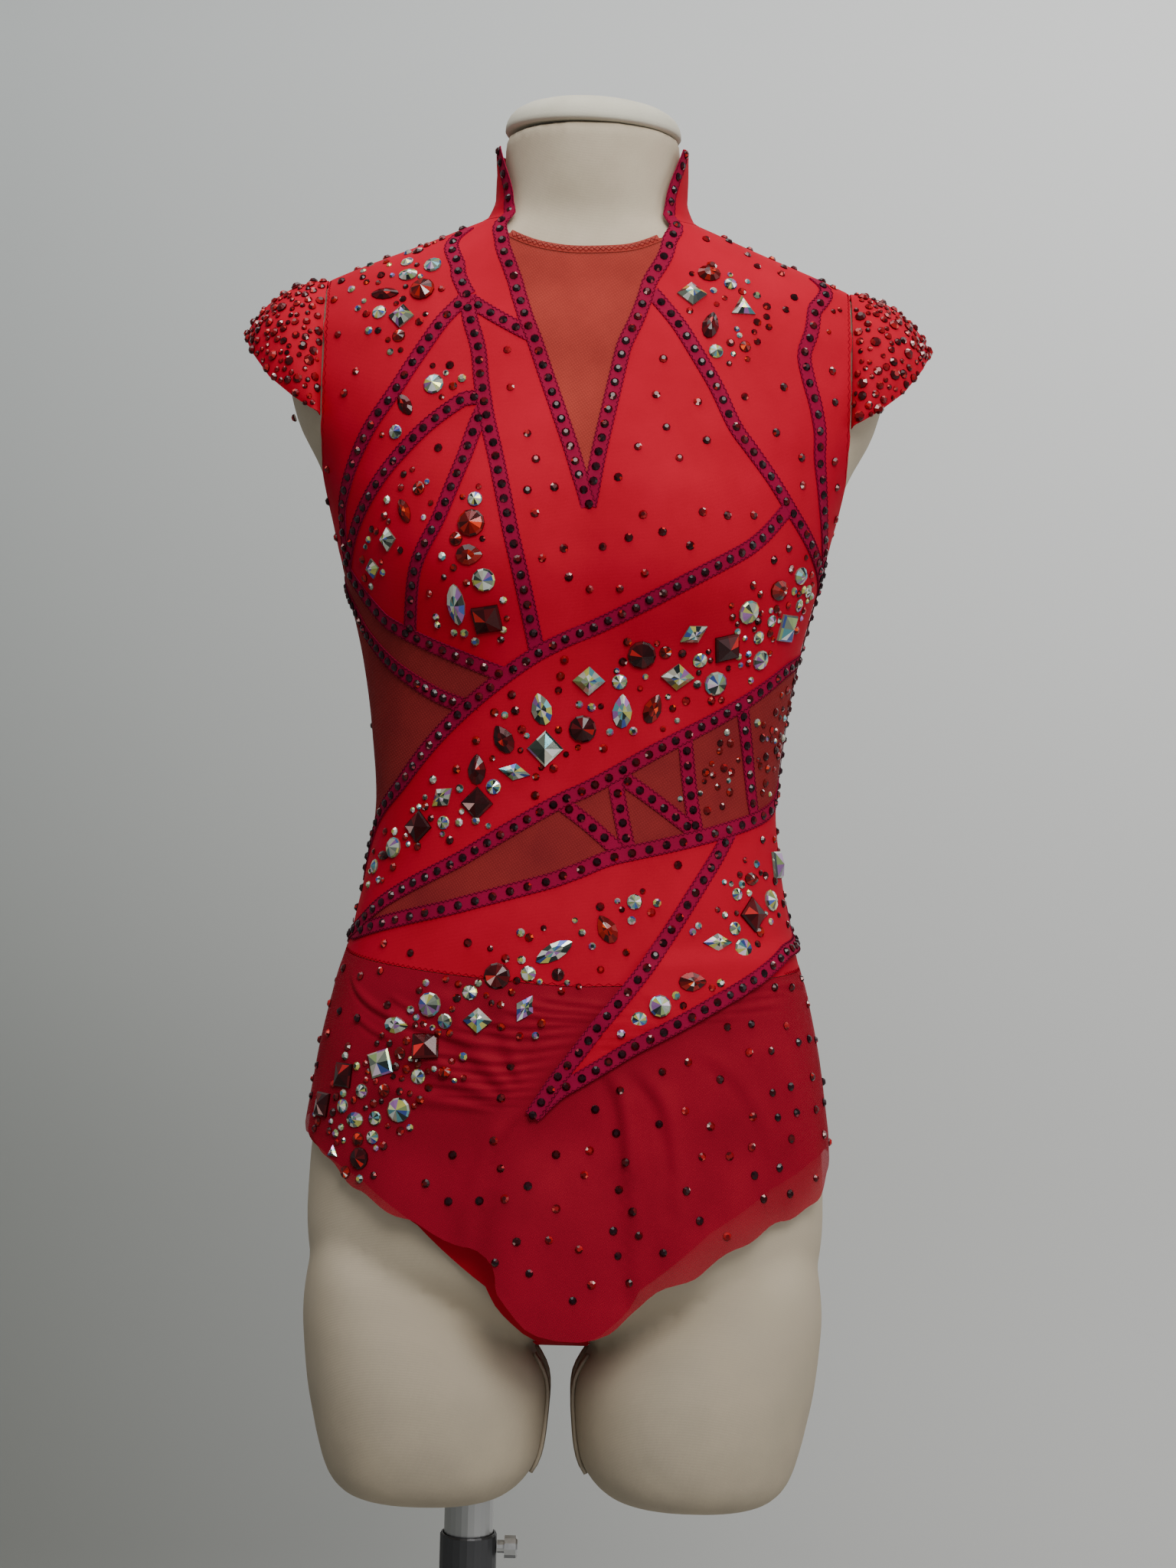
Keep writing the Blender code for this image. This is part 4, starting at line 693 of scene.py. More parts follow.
def point_outline():
    """Outline of the pointed front piece, in plan millimetres."""
    left = smooth_line(TAPES["point_left"], EDGE)
    right = smooth_line(TAPES["point_right"], EDGE)
    waist = [p for p in smooth_line(TAPES["waist_bottom"], EDGE) if p.x > 50 * PLAN]
    side = (90 * PLAN - SEAM)
    outline = left[:-1] + [Vector((-5 * PLAN, 734))] + right[-2:0:-1]
    outline = [p for p in outline if p.x < side]
    outline += [Vector((side, 856)), Vector((side, 888)), Vector((side, 924))]
    outline += [p for p in waist[::-1] if p.x < side]
    return shrink(outline, SEAM)


def shrink(outline, amount):
    """Moves an outline inwards by an even amount."""
    area = sum(a.x * b.y - b.x * a.y for a, b in zip(outline, outline[1:] + outline[:1]))
    turn_in = 1 if area > 0 else -1
    moved = []
    count = len(outline)
    for index, point in enumerate(outline):
        before = (point - outline[index - 1]).normalized()
        after = (outline[(index + 1) % count] - point).normalized()
        inward = Vector((-(before.y + after.y), before.x + after.x))
        if inward.length < 0.2:
            inward = Vector((0, 1))
        moved.append(point + inward.normalized() * amount * turn_in)
    return moved


def refine(outline, step):
    """Adds points to an outline so that no edge is longer than a step."""
    points = []
    for a, b in zip(outline, outline[1:] + outline[:1]):
        count = max(1, math.ceil((b - a).length / step))
        points.extend(a + (b - a) * index / count for index in range(count))
    return points


def sleeve_hem(share):
    """The cap sleeve's edge: front foot, pointed tip over the shoulder, back foot."""
    edge = [(159.5, -50, 1141), (174, -49, 1150), (189, -43, 1162), (202, -25, 1179), (209.5, 3, 1192),
            (203, 30, 1184), (189, 48, 1169), (175, 57, 1155), (159.5, 61, 1143)]
    place_on = share * (len(edge) - 1)
    index = min(int(place_on), len(edge) - 2)
    t = place_on - index
    return Vector(edge[index]).lerp(Vector(edge[index + 1]), t)


def sleeve_seam(share, out):
    """The armhole edge that the sleeve is sewn to, from front foot over the shoulder to back foot."""
    height = SLEEVE_FOOT + (SLEEVE_TOP - SLEEVE_FOOT) * math.sin(math.pi * share)**0.8
    shape = section_at(height)
    part = min((ARMHOLE_X + SLEEVE_SPACE) / shape.half_width, 1.0)
    turn = math.degrees(math.asin(part**(shape.squareness / 2)))
    turn = turn if share <= 0.5 else 180 - turn
    return cloth(turn, height, out)


def hem_height(turn):
    """The skirt's lower edge: the front dips to a soft point, and the back is the same, plainer."""
    turn = (turn + 180) % 360 - 180
    if abs(turn) <= 90:
        return along(HEM_FRONT, turn)
    back = 180 - abs(turn)
    side = HEM_FRONT[-1][1] if turn > 0 else HEM_FRONT[0][1]
    return side - (side - 640) * smoothstep(90, 0, back) if back < 90 else side


# Sheets, tapes and threads

def srgb(red, green, blue):
    """A colour named by its usual 0 to 255 values, as Blender's linear values."""
    values = []
    for level in (red, green, blue):
        share = level / 255
        values.append(share / 12.92 if share <= 0.04045 else ((share + 0.055) / 1.055)**2.4)
    return (*values, 1.0)


class Lines:
    """Outlines sampled closely, so that nearness to them is quick to ask."""

    def __init__(self, outlines, step=2.0):
        points = []
        for outline in outlines:
            for a, b in zip(outline, outline[1:] + outline[:1]):
                count = max(1, int((b - a).length / step))
                points.extend(a.lerp(b, index / count) for index in range(count))
        self.tree = kdtree.KDTree(len(points))
        for index, point in enumerate(points):
            self.tree.insert((point.x, point.y, 0), index)
        self.tree.balance()

    def distance(self, point):
        return self.tree.find((point.x, point.y, 0))[2]


def box_of(outline):
    return (min(p.x for p in outline), max(p.x for p in outline),
            min(p.y for p in outline), max(p.y for p in outline))


def inside_box(point, box):
    return box[0] <= point.x <= box[1] and box[2] <= point.y <= box[3]


def grid_points(outline, others, step):
    """Spare points that keep the triangles small, clear of every line."""
    low_x, high_x, low_y, high_y = box_of(outline)
    lines = Lines([outline] + others)
    points = []
    y = low_y + step / 2
    row = 0
    while y < high_y:
        x = low_x + step * (0.25 if row % 2 else 0.75)
        while x < high_x:
            point = Vector((x, y))
            if lines.distance(point) > step * 0.45 and inside(point, outline):
                points.append(point)
            x += step
        y += step * (0.86 if y < FINE_ABOVE else 0.5)
        row += 1
    return points


def triangulate(outlines, spare):
    """Triangles that keep every outline, and for each triangle the outlines it lies in."""
    points = []
    edges = []
    for outline in outlines:
        first = len(points)
        count = len(outline)
        edges.extend((first + index, first + (index + 1) % count) for index in range(count))
        points.extend(outline)
    points.extend(spare)
    flat, _, triangles, _, _, _ = geometry.delaunay_2d_cdt(points, edges, [], 0, 0.02, False)
    triangles = [triangle for triangle in triangles if size(flat, triangle) > 1e-3]
    boxes = [box_of(outline) for outline in outlines]
    owners = []
    for triangle in triangles:
        middle = (flat[triangle[0]] + flat[triangle[1]] + flat[triangle[2]]) / 3
        owners.append({index for index, outline in enumerate(outlines)
                       if inside_box(middle, boxes[index]) and inside(middle, outline)})
    return flat, triangles, owners


def size(flat, triangle):
    a, b, c = (flat[corner] for corner in triangle)
    return abs((b - a).cross(c - a)) / 2


def finish_piece(name, builder, material, smooth=True):
    """Turns a bmesh in millimetres into a named object that rides on the form."""
    for vertex in builder.verts:
        vertex.co *= MM
    for edge in builder.edges:
        edge.smooth = not edge.is_boundary
    mesh = bpy.data.meshes.new(name)
    builder.to_mesh(mesh)
    builder.free()
    for polygon in mesh.polygons:
        polygon.use_smooth = smooth
    mesh.materials.append(material)
    item = bpy.data.objects.new(name, mesh)
    bpy.context.scene.collection.objects.link(item)
    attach(item, "form")
    return item


def finish_sheet(item, wall, label):
    """Gives a single sheet its wall, grown outwards, and hides the solid that it stands for."""
    modifier = item.modifiers.new("wall", "SOLIDIFY")
    modifier.thickness = wall * MM
    modifier.offset = 1.0
    modifier.use_even_offset = False
    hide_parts(label)


def cut_out(outline, others, spare):
    """The largest part of an outline that lies outside the others, as its points and triangles."""
    flat, triangles, owners = triangulate([outline] + others, spare)
    kept = [tuple(t) for t, own in zip(triangles, owners) if own == {0}]
    return flat, max(patches(kept), key=lambda group: sum(size(flat, t) for t in group))


def sheet_from(name, flat, triangles, surface, base, material):
    """One layer of cloth on a surface, from its flat pattern."""
    builder = bmesh.new()
    corners = {}
    for triangle in triangles:
        for corner in triangle:
            if corner not in corners:
                point = flat[corner]
                corners[corner] = builder.verts.new(surface(point.x / PLAN, point.y, base))
    for triangle in triangles:
        a, b, c = (corners[corner] for corner in triangle)
        builder.faces.new((a, b, c))
    point_outwards(builder)
    return finish_piece(name, builder, material)


def point_outwards(builder, centre=None):
    """Turns an open sheet so that its faces look away from a centre or from the body's axis."""
    bmesh.ops.recalc_face_normals(builder, faces=builder.faces)
    total = 0.0
    for face in builder.faces:
        middle = face.calc_center_median()
        away = Vector((middle.x, middle.y, 0)) if centre is None else middle - centre
        total += face.normal.dot(away) * face.calc_area()
    if total < 0:
        bmesh.ops.reverse_faces(builder, faces=builder.faces)


def loft(name, rows, material, centre=None):
    """One layer of cloth through rows of points."""
    builder = bmesh.new()
    grid = [[builder.verts.new(point) for point in row] for row in rows]
    for low, high in zip(grid, grid[1:]):
        for index in range(len(low) - 1):
            builder.faces.new((low[index], low[index + 1], high[index + 1], high[index]))
    point_outwards(builder, centre)
    return finish_piece(name, builder, material)


def wrinkle(turn, height):
    """Slight unevenness of the stretched cloth, with a few soft pulls."""
    slow = math.sin(turn * 0.13 + height * 0.021) * math.sin(height * 0.037 - turn * 0.05)
    lift = 0.2 * slow
    for pull in PULLS:
        across = (turn - pull.turn) * PLAN
        up = height - pull.height
        lean = math.radians(pull.lean)
        along_it = across * math.cos(lean) + up * math.sin(lean)
        beside = up * math.cos(lean) - across * math.sin(lean)
        lift += pull.rise * math.exp(-(along_it / pull.length)**2 - (beside / pull.width)**2)
    return lift


def crease_lines():
    """The creases as smooth plan lines, each with its bounds, width and rise."""
    lines = [(smooth_line(fold.line, 3), fold) for fold in CREASES]
    return [(points, box_of(points), fold.width, fold.rise) for points, fold in lines]


def crease(turn, height):
    """Rise of the small folds at a place: each is a soft ridge with a sharper hollow below it."""
    x, y = turn * PLAN, height
    lift = 0.0
    for points, box, width, rise in CREASE_LINES:
        reach = 3 * width
        if not (box[0] - reach < x < box[1] + reach and box[2] - reach < y < box[3] + reach):
            continue
        best = None
        last = len(points) - 2
        for index in range(last + 1):
            a, b = points[index], points[index + 1]
            dx, dy = b.x - a.x, b.y - a.y
            t = ((x - a.x) * dx + (y - a.y) * dy) / max(dx * dx + dy * dy, 1e-9)
            t = min(1.0, max(0.0, t))
            gap_x, gap_y = x - a.x - dx * t, y - a.y - dy * t
            gap = gap_x * gap_x + gap_y * gap_y
            if best is None or gap < best[0]:
                best = (gap, (index + t) / (last + 1), gap_y)
        share = best[1]
        fade = smoothstep(0, 0.22, share) * (1 - smoothstep(0.72, 1.0, share))
        beside = math.copysign(math.sqrt(best[0]), best[2])
        lift += rise * fade * (math.exp(-(beside / width)**2)
                               - 0.75 * math.exp(-((beside + 1.25 * width) / (0.6 * width))**2))
    return lift


def body_cloth(turn, height, out):
    return cloth(turn, height, out + wrinkle(turn, height))


def point_cloth(turn, height, out):
    return over_skirt(turn, height, out + wrinkle(turn, height) + 1.2 * crease(turn, height))


def on_part(height, turn):
    """The surface that a stone or thread lies on at a place: bodice, pointed piece or skirt."""
    if height > hip_height(turn) + 2:
        return body_cloth
    if turn > along(TAPES["point_left"], height, 1) and height > along(TAPES["point_right"], turn):
        return point_cloth
    return skirt_cloth


def skirt_cloth(turn, height, out):
    """The skirt, drawn in to the panel's own level where it is sewn to the hip seam."""
    drop = hip_height(turn) - height
    fold = max(crease(turn, height), DEEPEST_FOLD)
    return hanging(turn, height, out - 0.8 * (1 - smoothstep(0, 16, drop)) + fold)


def frame_at(surface, turn, height, out):
    """A point on the cloth, with the directions across, up and away from it."""
    middle = surface(turn, height, out)
    across = (surface(turn + 0.7, height, out) - surface(turn - 0.7, height, out)).normalized()
    up = surface(turn, height + 1.2, out) - surface(turn, height - 1.2, out)
    away = across.cross(up).normalized()
    up = away.cross(across).normalized()
    return middle, across, up, away


def add_thread(builder, points, radius):
    """A thin three-sided thread along a path."""
    before = None
    for index, point in enumerate(points):
        ahead = (points[min(index + 1, len(points) - 1)] - points[max(index - 1, 0)]).normalized()
        side = ahead.cross(Vector((0.1, -1.0, 0.15))).normalized()
        over = side.cross(ahead).normalized()
        ring = []
        for corner in range(3):
            angle = 2 * math.pi * corner / 3 + math.pi / 2
            ring.append(builder.verts.new(point + (side * math.cos(angle) + over * math.sin(angle)) * radius))
        if before:
            for a in range(3):
                b = (a + 1) % 3
                builder.faces.new((before[a], before[b], ring[b], ring[a]))
        else:
            builder.faces.new(ring[::-1])
        before = ring
    builder.faces.new(before)


def add_runs(builder, places, radius):
    """Threads through a list of places, broken at each gap that None marks."""
    run = []
    for place in places + [None]:
        if place is not None:
            run.append(place)
            continue
        if len(run) > 2:
            add_thread(builder, run, radius)
        run = []


def zigzag(line, aside, pitch, reach):
    """Plan points of a zigzag stitch beside a line, at a true distance to one side."""
    points = []
    side = 1
    dense = resample(line, pitch)
    for index, point in enumerate(dense):
        ahead = (dense[min(index + 1, len(dense) - 1)] - dense[max(index - 1, 0)]).normalized()
        square = aside_of(point, ahead)
        points.append(point + square * (aside + side * reach))
        side = -side
    return points


def resample(line, step):
    """Points spaced evenly along a line, measured in true millimetres on the body."""
    points = [line[0]]
    left = step
    for a, b in zip(line, line[1:]):
        aa, ab, bb = stretch(a)
        way = b - a
        length = math.sqrt(max(aa * way.x**2 + 2 * ab * way.x * way.y + bb * way.y**2, 1e-9))
        done = 0.0
        while length - done > left:
            done += left
            points.append(a.lerp(b, done / length))
            left = step
        left -= length - done
    return points


# Stones

def on_polygon(index, count, corners, first):
    """One of the points spaced along the edges of a regular polygon in a circle of radius 1."""
    place = index * corners / count
    corner = int(place)
    part = place - corner
    a = first + 2 * math.pi / corners * corner
    b = a + 2 * math.pi / corners
    return (1 - part) * math.cos(a) + part * math.cos(b), (1 - part) * math.sin(a) + part * math.sin(b)


def stone_shape(cut, length, width, count):
    """The girdle of a cut in its own plane."""
    outline = []
    for index in range(count):
        angle = 2 * math.pi * index / count
        u, v = math.cos(angle) * length / 2, math.sin(angle) * width / 2
        if cut in ("square", "lozenge"):
            along_u, along_v = on_polygon(index, count, 4, math.pi / 4 if cut == "square" else 0)
            grow = math.sqrt(2) if cut == "square" else 1.0
            u, v = along_u * grow * length / 2, along_v * grow * width / 2
        elif cut == "trilliant":
            along_u, along_v = on_polygon(index, count, 3, math.pi / 2)
            u, v = along_u * length * 0.6, along_v * width * 0.6 - width * 0.08
        elif cut == "navette":
            v *= abs(math.sin(angle))**0.35
        elif cut == "drop":
            v *= 1 - 0.55 * max(0.0, math.cos(angle))**1.5
        outline.append((u, v))
    return outline


def add_stone(builder, paint, place, cut, colour, length, width, lean, rng):
    """A flat-backed stone: a small one has a table, a large one facets that meet at its middle."""
    middle, across, up, away = place
    small = min(length, width)
    tiny = max(length, width) < 7
    count = 8 if tiny or cut == "square" else 12
    turn = math.radians(lean)
    ax = across * math.cos(turn) + up * math.sin(turn)
    ay = up * math.cos(turn) - across * math.sin(turn)
    shape = stone_shape(cut, length, width, count)
    tall = small * (0.36 if tiny else 0.30)
    if tiny:
        profile = ((1.0, -0.3), (1.0, tall * 0.3), (0.5, tall))
    elif cut in ("round", "square"):
        profile = ((1.0, -0.3), (1.0, tall * 0.25), (0.86, tall * 0.45))
    else:
        profile = ((1.0, -0.3), (1.0, tall * 0.25), (0.5, tall * 0.85))
    rings = []
    for scale, rise in profile:
        rings.append([builder.verts.new(middle + (ax * u + ay * v) * scale + away * rise)
                      for u, v in shape])
    bands = []
    for low, high in zip(rings, rings[1:]):
        bands.append([builder.faces.new((low[a], low[(a + 1) % count], high[(a + 1) % count], high[a]))
                      for a in range(count)])
    if tiny:
        bands.append([builder.faces.new(rings[-1])])
    else:
        top = builder.verts.new(middle + away * tall * 1.05)
        bands.append([builder.faces.new((rings[-1][a], rings[-1][(a + 1) % count], top))
                      for a in range(count)])
    builder.faces.new(rings[0][::-1])
    deep, painted_glints = STONE_COLOURS[colour]
    colour_band(bands[0], [deep[0]], 2, rng, paint)
    for band in bands[1:]:
        colour_band(band, deep, 2 if tiny else 1, rng, paint)
    # painted glint: one or two facets of most stones take a bright flash colour
    glint_band = bands[1] if tiny else bands[-1]
    first = rng.randrange(len(glint_band))
    run = 1 if tiny or cut == "square" else rng.choice((1, 2, 2))
    if rng.random() < (0.6 if tiny else 0.95):
        for step in range(run):
            colour_band([glint_band[(first + step) % len(glint_band)]], painted_glints, 1, rng, paint)


def colour_band(band, shades, together, rng, paint):
    """Colours a ring of facets, each few together alike, and brightens or darkens each few at random as
    painted facet light.
    """
    for start in range(0, len(band), together):
        shade = rng.choice(shades)
        painted_facet_light = rng.uniform(0.8, 1.2)
        for face in band[start:start + together]:
            for loop in face.loops:
                loop[paint] = (min(shade[0] * painted_facet_light, 1), min(shade[1] * painted_facet_light, 1), min(shade[2] * painted_facet_light, 1), 1.0)


class StoneSet:
    """All stones: red ones gathered into one piece and clear ones into another."""

    def __init__(self, seed):
        self.builders = {"red": bmesh.new(), "clear": bmesh.new()}
        self.paints = {kind: builder.loops.layers.float_color.new("facet")
                       for kind, builder in self.builders.items()}
        self.rng = random.Random(seed)
        self.spots = {}

    def clear_of(self, middle, radius):
        cell = self.cell(middle)
        for shift in NEXT_CELLS:
            beside = tuple(own + step for own, step in zip(cell, shift))
            for other, room in self.spots.get(beside, ()):
                if (middle - other).length < radius + room:
                    return False
        return True

    def cell(self, middle):
        return tuple(int(value // CELL) for value in middle)

    def add(self, surface, turn, height, cut, colour, length, width, lean, out):
        place = frame_at(surface, turn, height, out)
        self.add_at(place, cut, colour, length, width, lean)

    def add_at(self, place, cut, colour, length, width, lean):
        self.spots.setdefault(self.cell(place[0]), []).append((place[0], max(length, width) * 0.5))
        kind = "clear" if colour == "clear" else "red"
        add_stone(self.builders[kind], self.paints[kind], place, cut, colour, length, width, lean, self.rng)

    def finish(self, materials):
        for kind, builder in self.builders.items():
            finish_piece(kind + "_stones", builder, materials[kind + "_stone"], smooth=False)


# Materials

def link(tree, start, start_socket, end, end_socket):
    tree.links.new(start.outputs[start_socket], end.inputs[end_socket])


def node(tree, kind, values=None, **settings):
    """A shader node of a kind, with its settings and the values of its inputs."""
    made = tree.nodes.new("ShaderNode" + kind)
    for label, value in settings.items():
        setattr(made, label, value)
    for label, value in (values or {}).items():
        made.inputs[label].default_value = value
    return made


def new_material(name, values=None):
    """A material with the values of its shader's inputs, as the material, its tree and its shader."""
    material = bpy.data.materials.new(name)
    material.use_nodes = True
    shader = material.node_tree.nodes["Principled BSDF"]
    for label, value in (values or {}).items():
        shader.inputs[label].default_value = value
    return material, material.node_tree, shader


def fabric_group(name, ridge_scale, ridge_angle, depth):
    """A cloth effect: fine ribs, soft mottling of the colour, and the bump that goes with them."""
    tree = bpy.data.node_groups.new(name, "ShaderNodeTree")
    face = tree.interface
    for label, kind in (("Light", "NodeSocketColor"), ("Dark", "NodeSocketColor")):
        face.new_socket(label, in_out="INPUT", socket_type=kind)
    for label, kind in (("Colour", "NodeSocketColor"), ("Roughness", "NodeSocketFloat"),
                        ("Normal", "NodeSocketVector"), ("Holes", "NodeSocketFloat")):
        face.new_socket(label, in_out="OUTPUT", socket_type=kind)
    start = tree.nodes.new("NodeGroupInput")
    end = tree.nodes.new("NodeGroupOutput")
    where = node(tree, "TexCoord")
    turned = node(tree, "Mapping", {"Rotation": (0, math.radians(ridge_angle), 0)})
    ribs = node(tree, "TexWave", {"Scale": ridge_scale, "Distortion": 0.6, "Detail": 1.0},
                bands_direction="X")
    cross = node(tree, "TexWave", {"Scale": ridge_scale * 0.8, "Distortion": 0.8}, bands_direction="Z")
    both = node(tree, "Math", operation="MULTIPLY")
    mottle = node(tree, "TexNoise", {"Scale": 26.0, "Detail": 5.0})
    grain = node(tree, "TexNoise", {"Scale": 1400.0})
    mixed = node(tree, "Math", {1: 0.35}, operation="MULTIPLY_ADD")
    spread = node(tree, "MapRange", {"From Min": 0.42, "From Max": 0.9})
    tone = node(tree, "Mix", data_type="RGBA")
    rough = node(tree, "MapRange", {"To Min": 0.62, "To Max": 0.76})
    bump = node(tree, "Bump", {"Strength": depth, "Distance": 0.0003})
    for links in ((where, "Object", turned, "Vector"), (turned, "Vector", ribs, "Vector"),
                  (turned, "Vector", cross, "Vector"), (ribs, "Fac", both, 0), (cross, "Fac", both, 1),
                  (where, "Object", mottle, "Vector"), (where, "Object", grain, "Vector"),
                  (grain, "Fac", mixed, 0), (mottle, "Fac", mixed, 2), (mixed, "Value", spread, "Value"),
                  (spread, "Result", tone, "Factor"), (start, "Light", tone, "A"),
                  (start, "Dark", tone, "B"), (mottle, "Fac", rough, "Value"),
                  (both, "Value", bump, "Height"), (tone, "Result", end, "Colour"),
                  (rough, "Result", end, "Roughness"), (bump, "Normal", end, "Normal"),
                  (both, "Value", end, "Holes")):
        link(tree, *links)
    return tree


def cloth_material(name, group, light, dark, sheen, alpha=None, low=None):
    """A cloth finish; alpha is the pair of cover values of its thin and its thick places, and low is
    the painted shade colour that the cover darkens to near its lower end."""
    material, tree, shader = new_material(name, {
        "Sheen Weight": sheen, "Sheen Roughness": 0.4, "Sheen Tint": light, "Specular IOR Level": 0.05})
    effect = tree.nodes.new("ShaderNodeGroup")
    effect.node_tree = group
    effect.inputs["Light"].default_value = light
    effect.inputs["Dark"].default_value = dark
    for label, socket in (("Colour", "Base Color"), ("Roughness", "Roughness"), ("Normal", "Normal")):
        link(tree, effect, label, shader, socket)
    # painted shade: the cover's colour darkens towards low from 0.75 m down to 0.5 m
    if low:
        where = node(tree, "TexCoord")
        parts = node(tree, "SeparateXYZ")
        share = node(tree, "MapRange", {"From Min": 0.5, "From Max": 0.75})
        painted_shade_low = node(tree, "Mix", {"A": low, "B": light}, data_type="RGBA")
        link(tree, where, "Object", parts, "Vector")
        link(tree, parts, "Z", share, "Value")
        link(tree, share, "Result", painted_shade_low, "Factor")
        link(tree, painted_shade_low, "Result", effect, "Light")
    if alpha:
        cover = node(tree, "MapRange", {"To Min": alpha[0], "To Max": alpha[1]})
        link(tree, effect, "Holes", cover, "Value")
        link(tree, cover, "Result", shader, "Alpha")
    material.diffuse_color = light
    return material


def patchy_gloss(tree, shader, noise_scale, stretch_by, dullness):
    """Unevenness of a shader's roughness, between two values, from noise that may be drawn out."""
    where = node(tree, "TexCoord")
    drawn = node(tree, "Mapping", {"Scale": stretch_by})
    marks = node(tree, "TexNoise", {"Scale": noise_scale})
    rough = node(tree, "MapRange", {"To Min": dullness[0], "To Max": dullness[1]})
    link(tree, where, "Object", drawn, "Vector")
    link(tree, drawn, "Vector", marks, "Vector")
    link(tree, marks, "Fac", rough, "Value")
    link(tree, rough, "Result", shader, "Roughness")


def stone_material(name, metallic, gloss):
    """Cut glass with a foiled back: facet colours from the piece, which hold painted reflections and glints,
    a hard gloss and faint scuffs.
    """
    material, tree, shader = new_material(name, {"Metallic": metallic, "Specular IOR Level": gloss})
    facet = node(tree, "Attribute", attribute_name="facet")
    link(tree, facet, "Color", shader, "Base Color")
    patchy_gloss(tree, shader, 900.0, (1.0, 1.0, 1.0), (0.04, 0.16))
    return material


def steel_material(name, colour, roughness):
    """Drawn steel tube: fine lengthwise brushing and a few dull patches."""
    material, tree, shader = new_material(name, {"Base Color": colour, "Metallic": 1.0})
    patchy_gloss(tree, shader, 1.0, (900.0, 900.0, 6.0), (roughness - 0.08, roughness + 0.14))
    return material


def make_materials():
    knit = fabric_group("stretch_knit", 700.0, 0.0, 0.25)
    veil = fabric_group("skirt_net", 480.0, 20.0, 0.2)
    net = fabric_group("fine_net", 230.0, 35.0, 0.35)
    linen = fabric_group("linen_cover", 620.0, 4.0, 0.3)
    spun = fabric_group("spun_thread", 1500.0, 45.0, 0.3)
    return {
        "knit": cloth_material("red_knit", knit, srgb(185, 16, 44), srgb(172, 14, 38), 0.02),
        "lining": cloth_material("red_brief", knit, srgb(176, 16, 40), srgb(160, 14, 34), 0.03),
        "neck_net": cloth_material("neck_net", net, srgb(176, 66, 56), srgb(150, 52, 46), 0.05, (0.72, 0.92)),
        "dark_net": cloth_material("waist_net", net, srgb(148, 46, 46), srgb(126, 36, 40), 0.05, (0.8, 0.96)),
        "skirt_net": cloth_material("skirt_net", veil, srgb(166, 26, 46), srgb(148, 22, 40), 0.05,
                                    (0.6, 0.84)),
        "tape": cloth_material("raspberry_tape", knit, srgb(150, 16, 58), srgb(132, 14, 50), 0.03),
        "thread": cloth_material("thread", spun, srgb(100, 10, 38), srgb(82, 6, 30), 0.02),
        "red_thread": cloth_material("red_thread", spun, srgb(150, 14, 34), srgb(128, 10, 26), 0.02),
        # the linen's low colour is painted shade towards the bottom of the form
        "linen": cloth_material("linen", linen, srgb(204, 190, 168), srgb(188, 174, 152), 0.03,
                                low=srgb(168, 156, 138)),
        "cap_linen": cloth_material("cap_linen", linen, srgb(214, 210, 194), srgb(198, 193, 176), 0.03),
        "red_stone": stone_material("red_glass", 0.0, 0.3),
        "clear_stone": stone_material("clear_glass", 0.5, 0.6),
        "steel": steel_material("bright_steel", srgb(190, 190, 190), 0.3),
        "dark_steel": steel_material("dull_steel", srgb(92, 92, 94), 0.42),
    }


# Form and stand

def build_form(materials):
    """The smooth dress form: torso, thighs and neck grown together, with its welts and cap."""
    builder = bmesh.new()
    heights = []
    height = BODY_BOTTOM + 0.4
    while height < BODY_TOP - 1.6:
        heights.append(height)
        height += 2.5 if height < 600 or height > 1200 else 7
    rings = []
    for height in heights + [BODY_TOP - 1.6]:
        ring = []
        for index in range(FORM_POINTS):
            turn = 360 * index / FORM_POINTS
            inward = outward(turn, height)
            inward.z = max(inward.z, -0.6)
            ring.append(builder.verts.new(skin(turn, height) - inward * form_inset(height)))
        rings.append(ring)
    close_rings(builder, rings)
    for side in (1, -1):
        rings = []
        for step in range(61):
            height = THIGH[0].height + (THIGH[-1].height - THIGH[0].height) * step / 60
            row = row_at(THIGH, height)
            ring = []
            for index in range(LIMB_POINTS):
                turn = 2 * math.pi * index / LIMB_POINTS
                power = 2 / LIMB_POWER
                x = row.half_width * math.copysign(abs(math.sin(turn))**power, math.sin(turn))
                ahead = math.cos(turn)
                depth = row.front if ahead > 0 else row.back
                y = -depth * math.copysign(abs(ahead)**power, ahead)
                ring.append(builder.verts.new(Vector((side * row.across + x, y, height))))
            rings.append(ring)
        close_rings(builder, rings)
    bmesh.ops.recalc_face_normals(builder, faces=builder.faces)
    body = finish_piece("dress_form", builder, materials["linen"])
    remesh = body.modifiers.new("grow_together", "REMESH")
    remesh.mode = "VOXEL"
    remesh.voxel_size = FORM_VOXEL
    remesh.use_smooth_shade = True
    soften = body.modifiers.new("soften", "SMOOTH")
    soften.factor = 0.5
    soften.iterations = 6
    apply_modifiers(body)
    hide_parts("form_body")
    cap = build_cap(materials)
    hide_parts("form_neck_cap")
    build_welts(materials)


def form_inset(height):
    """How far the form lies inside the cloth: more low down, where the body turns in."""
    return FORM_INSET + FORM_INSET_LOW * (1 - smoothstep(604, 640, height))


def close_rings(builder, rings):
    """Faces through rings of vertices, with a face at each end."""
    for low, high in zip(rings, rings[1:]):
        for a in range(len(low)):
            b = (a + 1) % len(low)
            builder.faces.new((low[a], low[b], high[b], high[a]))
    builder.faces.new(rings[0][::-1])
    builder.faces.new(rings[-1])


def apply_modifiers(item):
    depsgraph = bpy.context.evaluated_depsgraph_get()
    mesh = bpy.data.meshes.new_from_object(item.evaluated_get(depsgraph))
    item.modifiers.clear()
    item.data = mesh


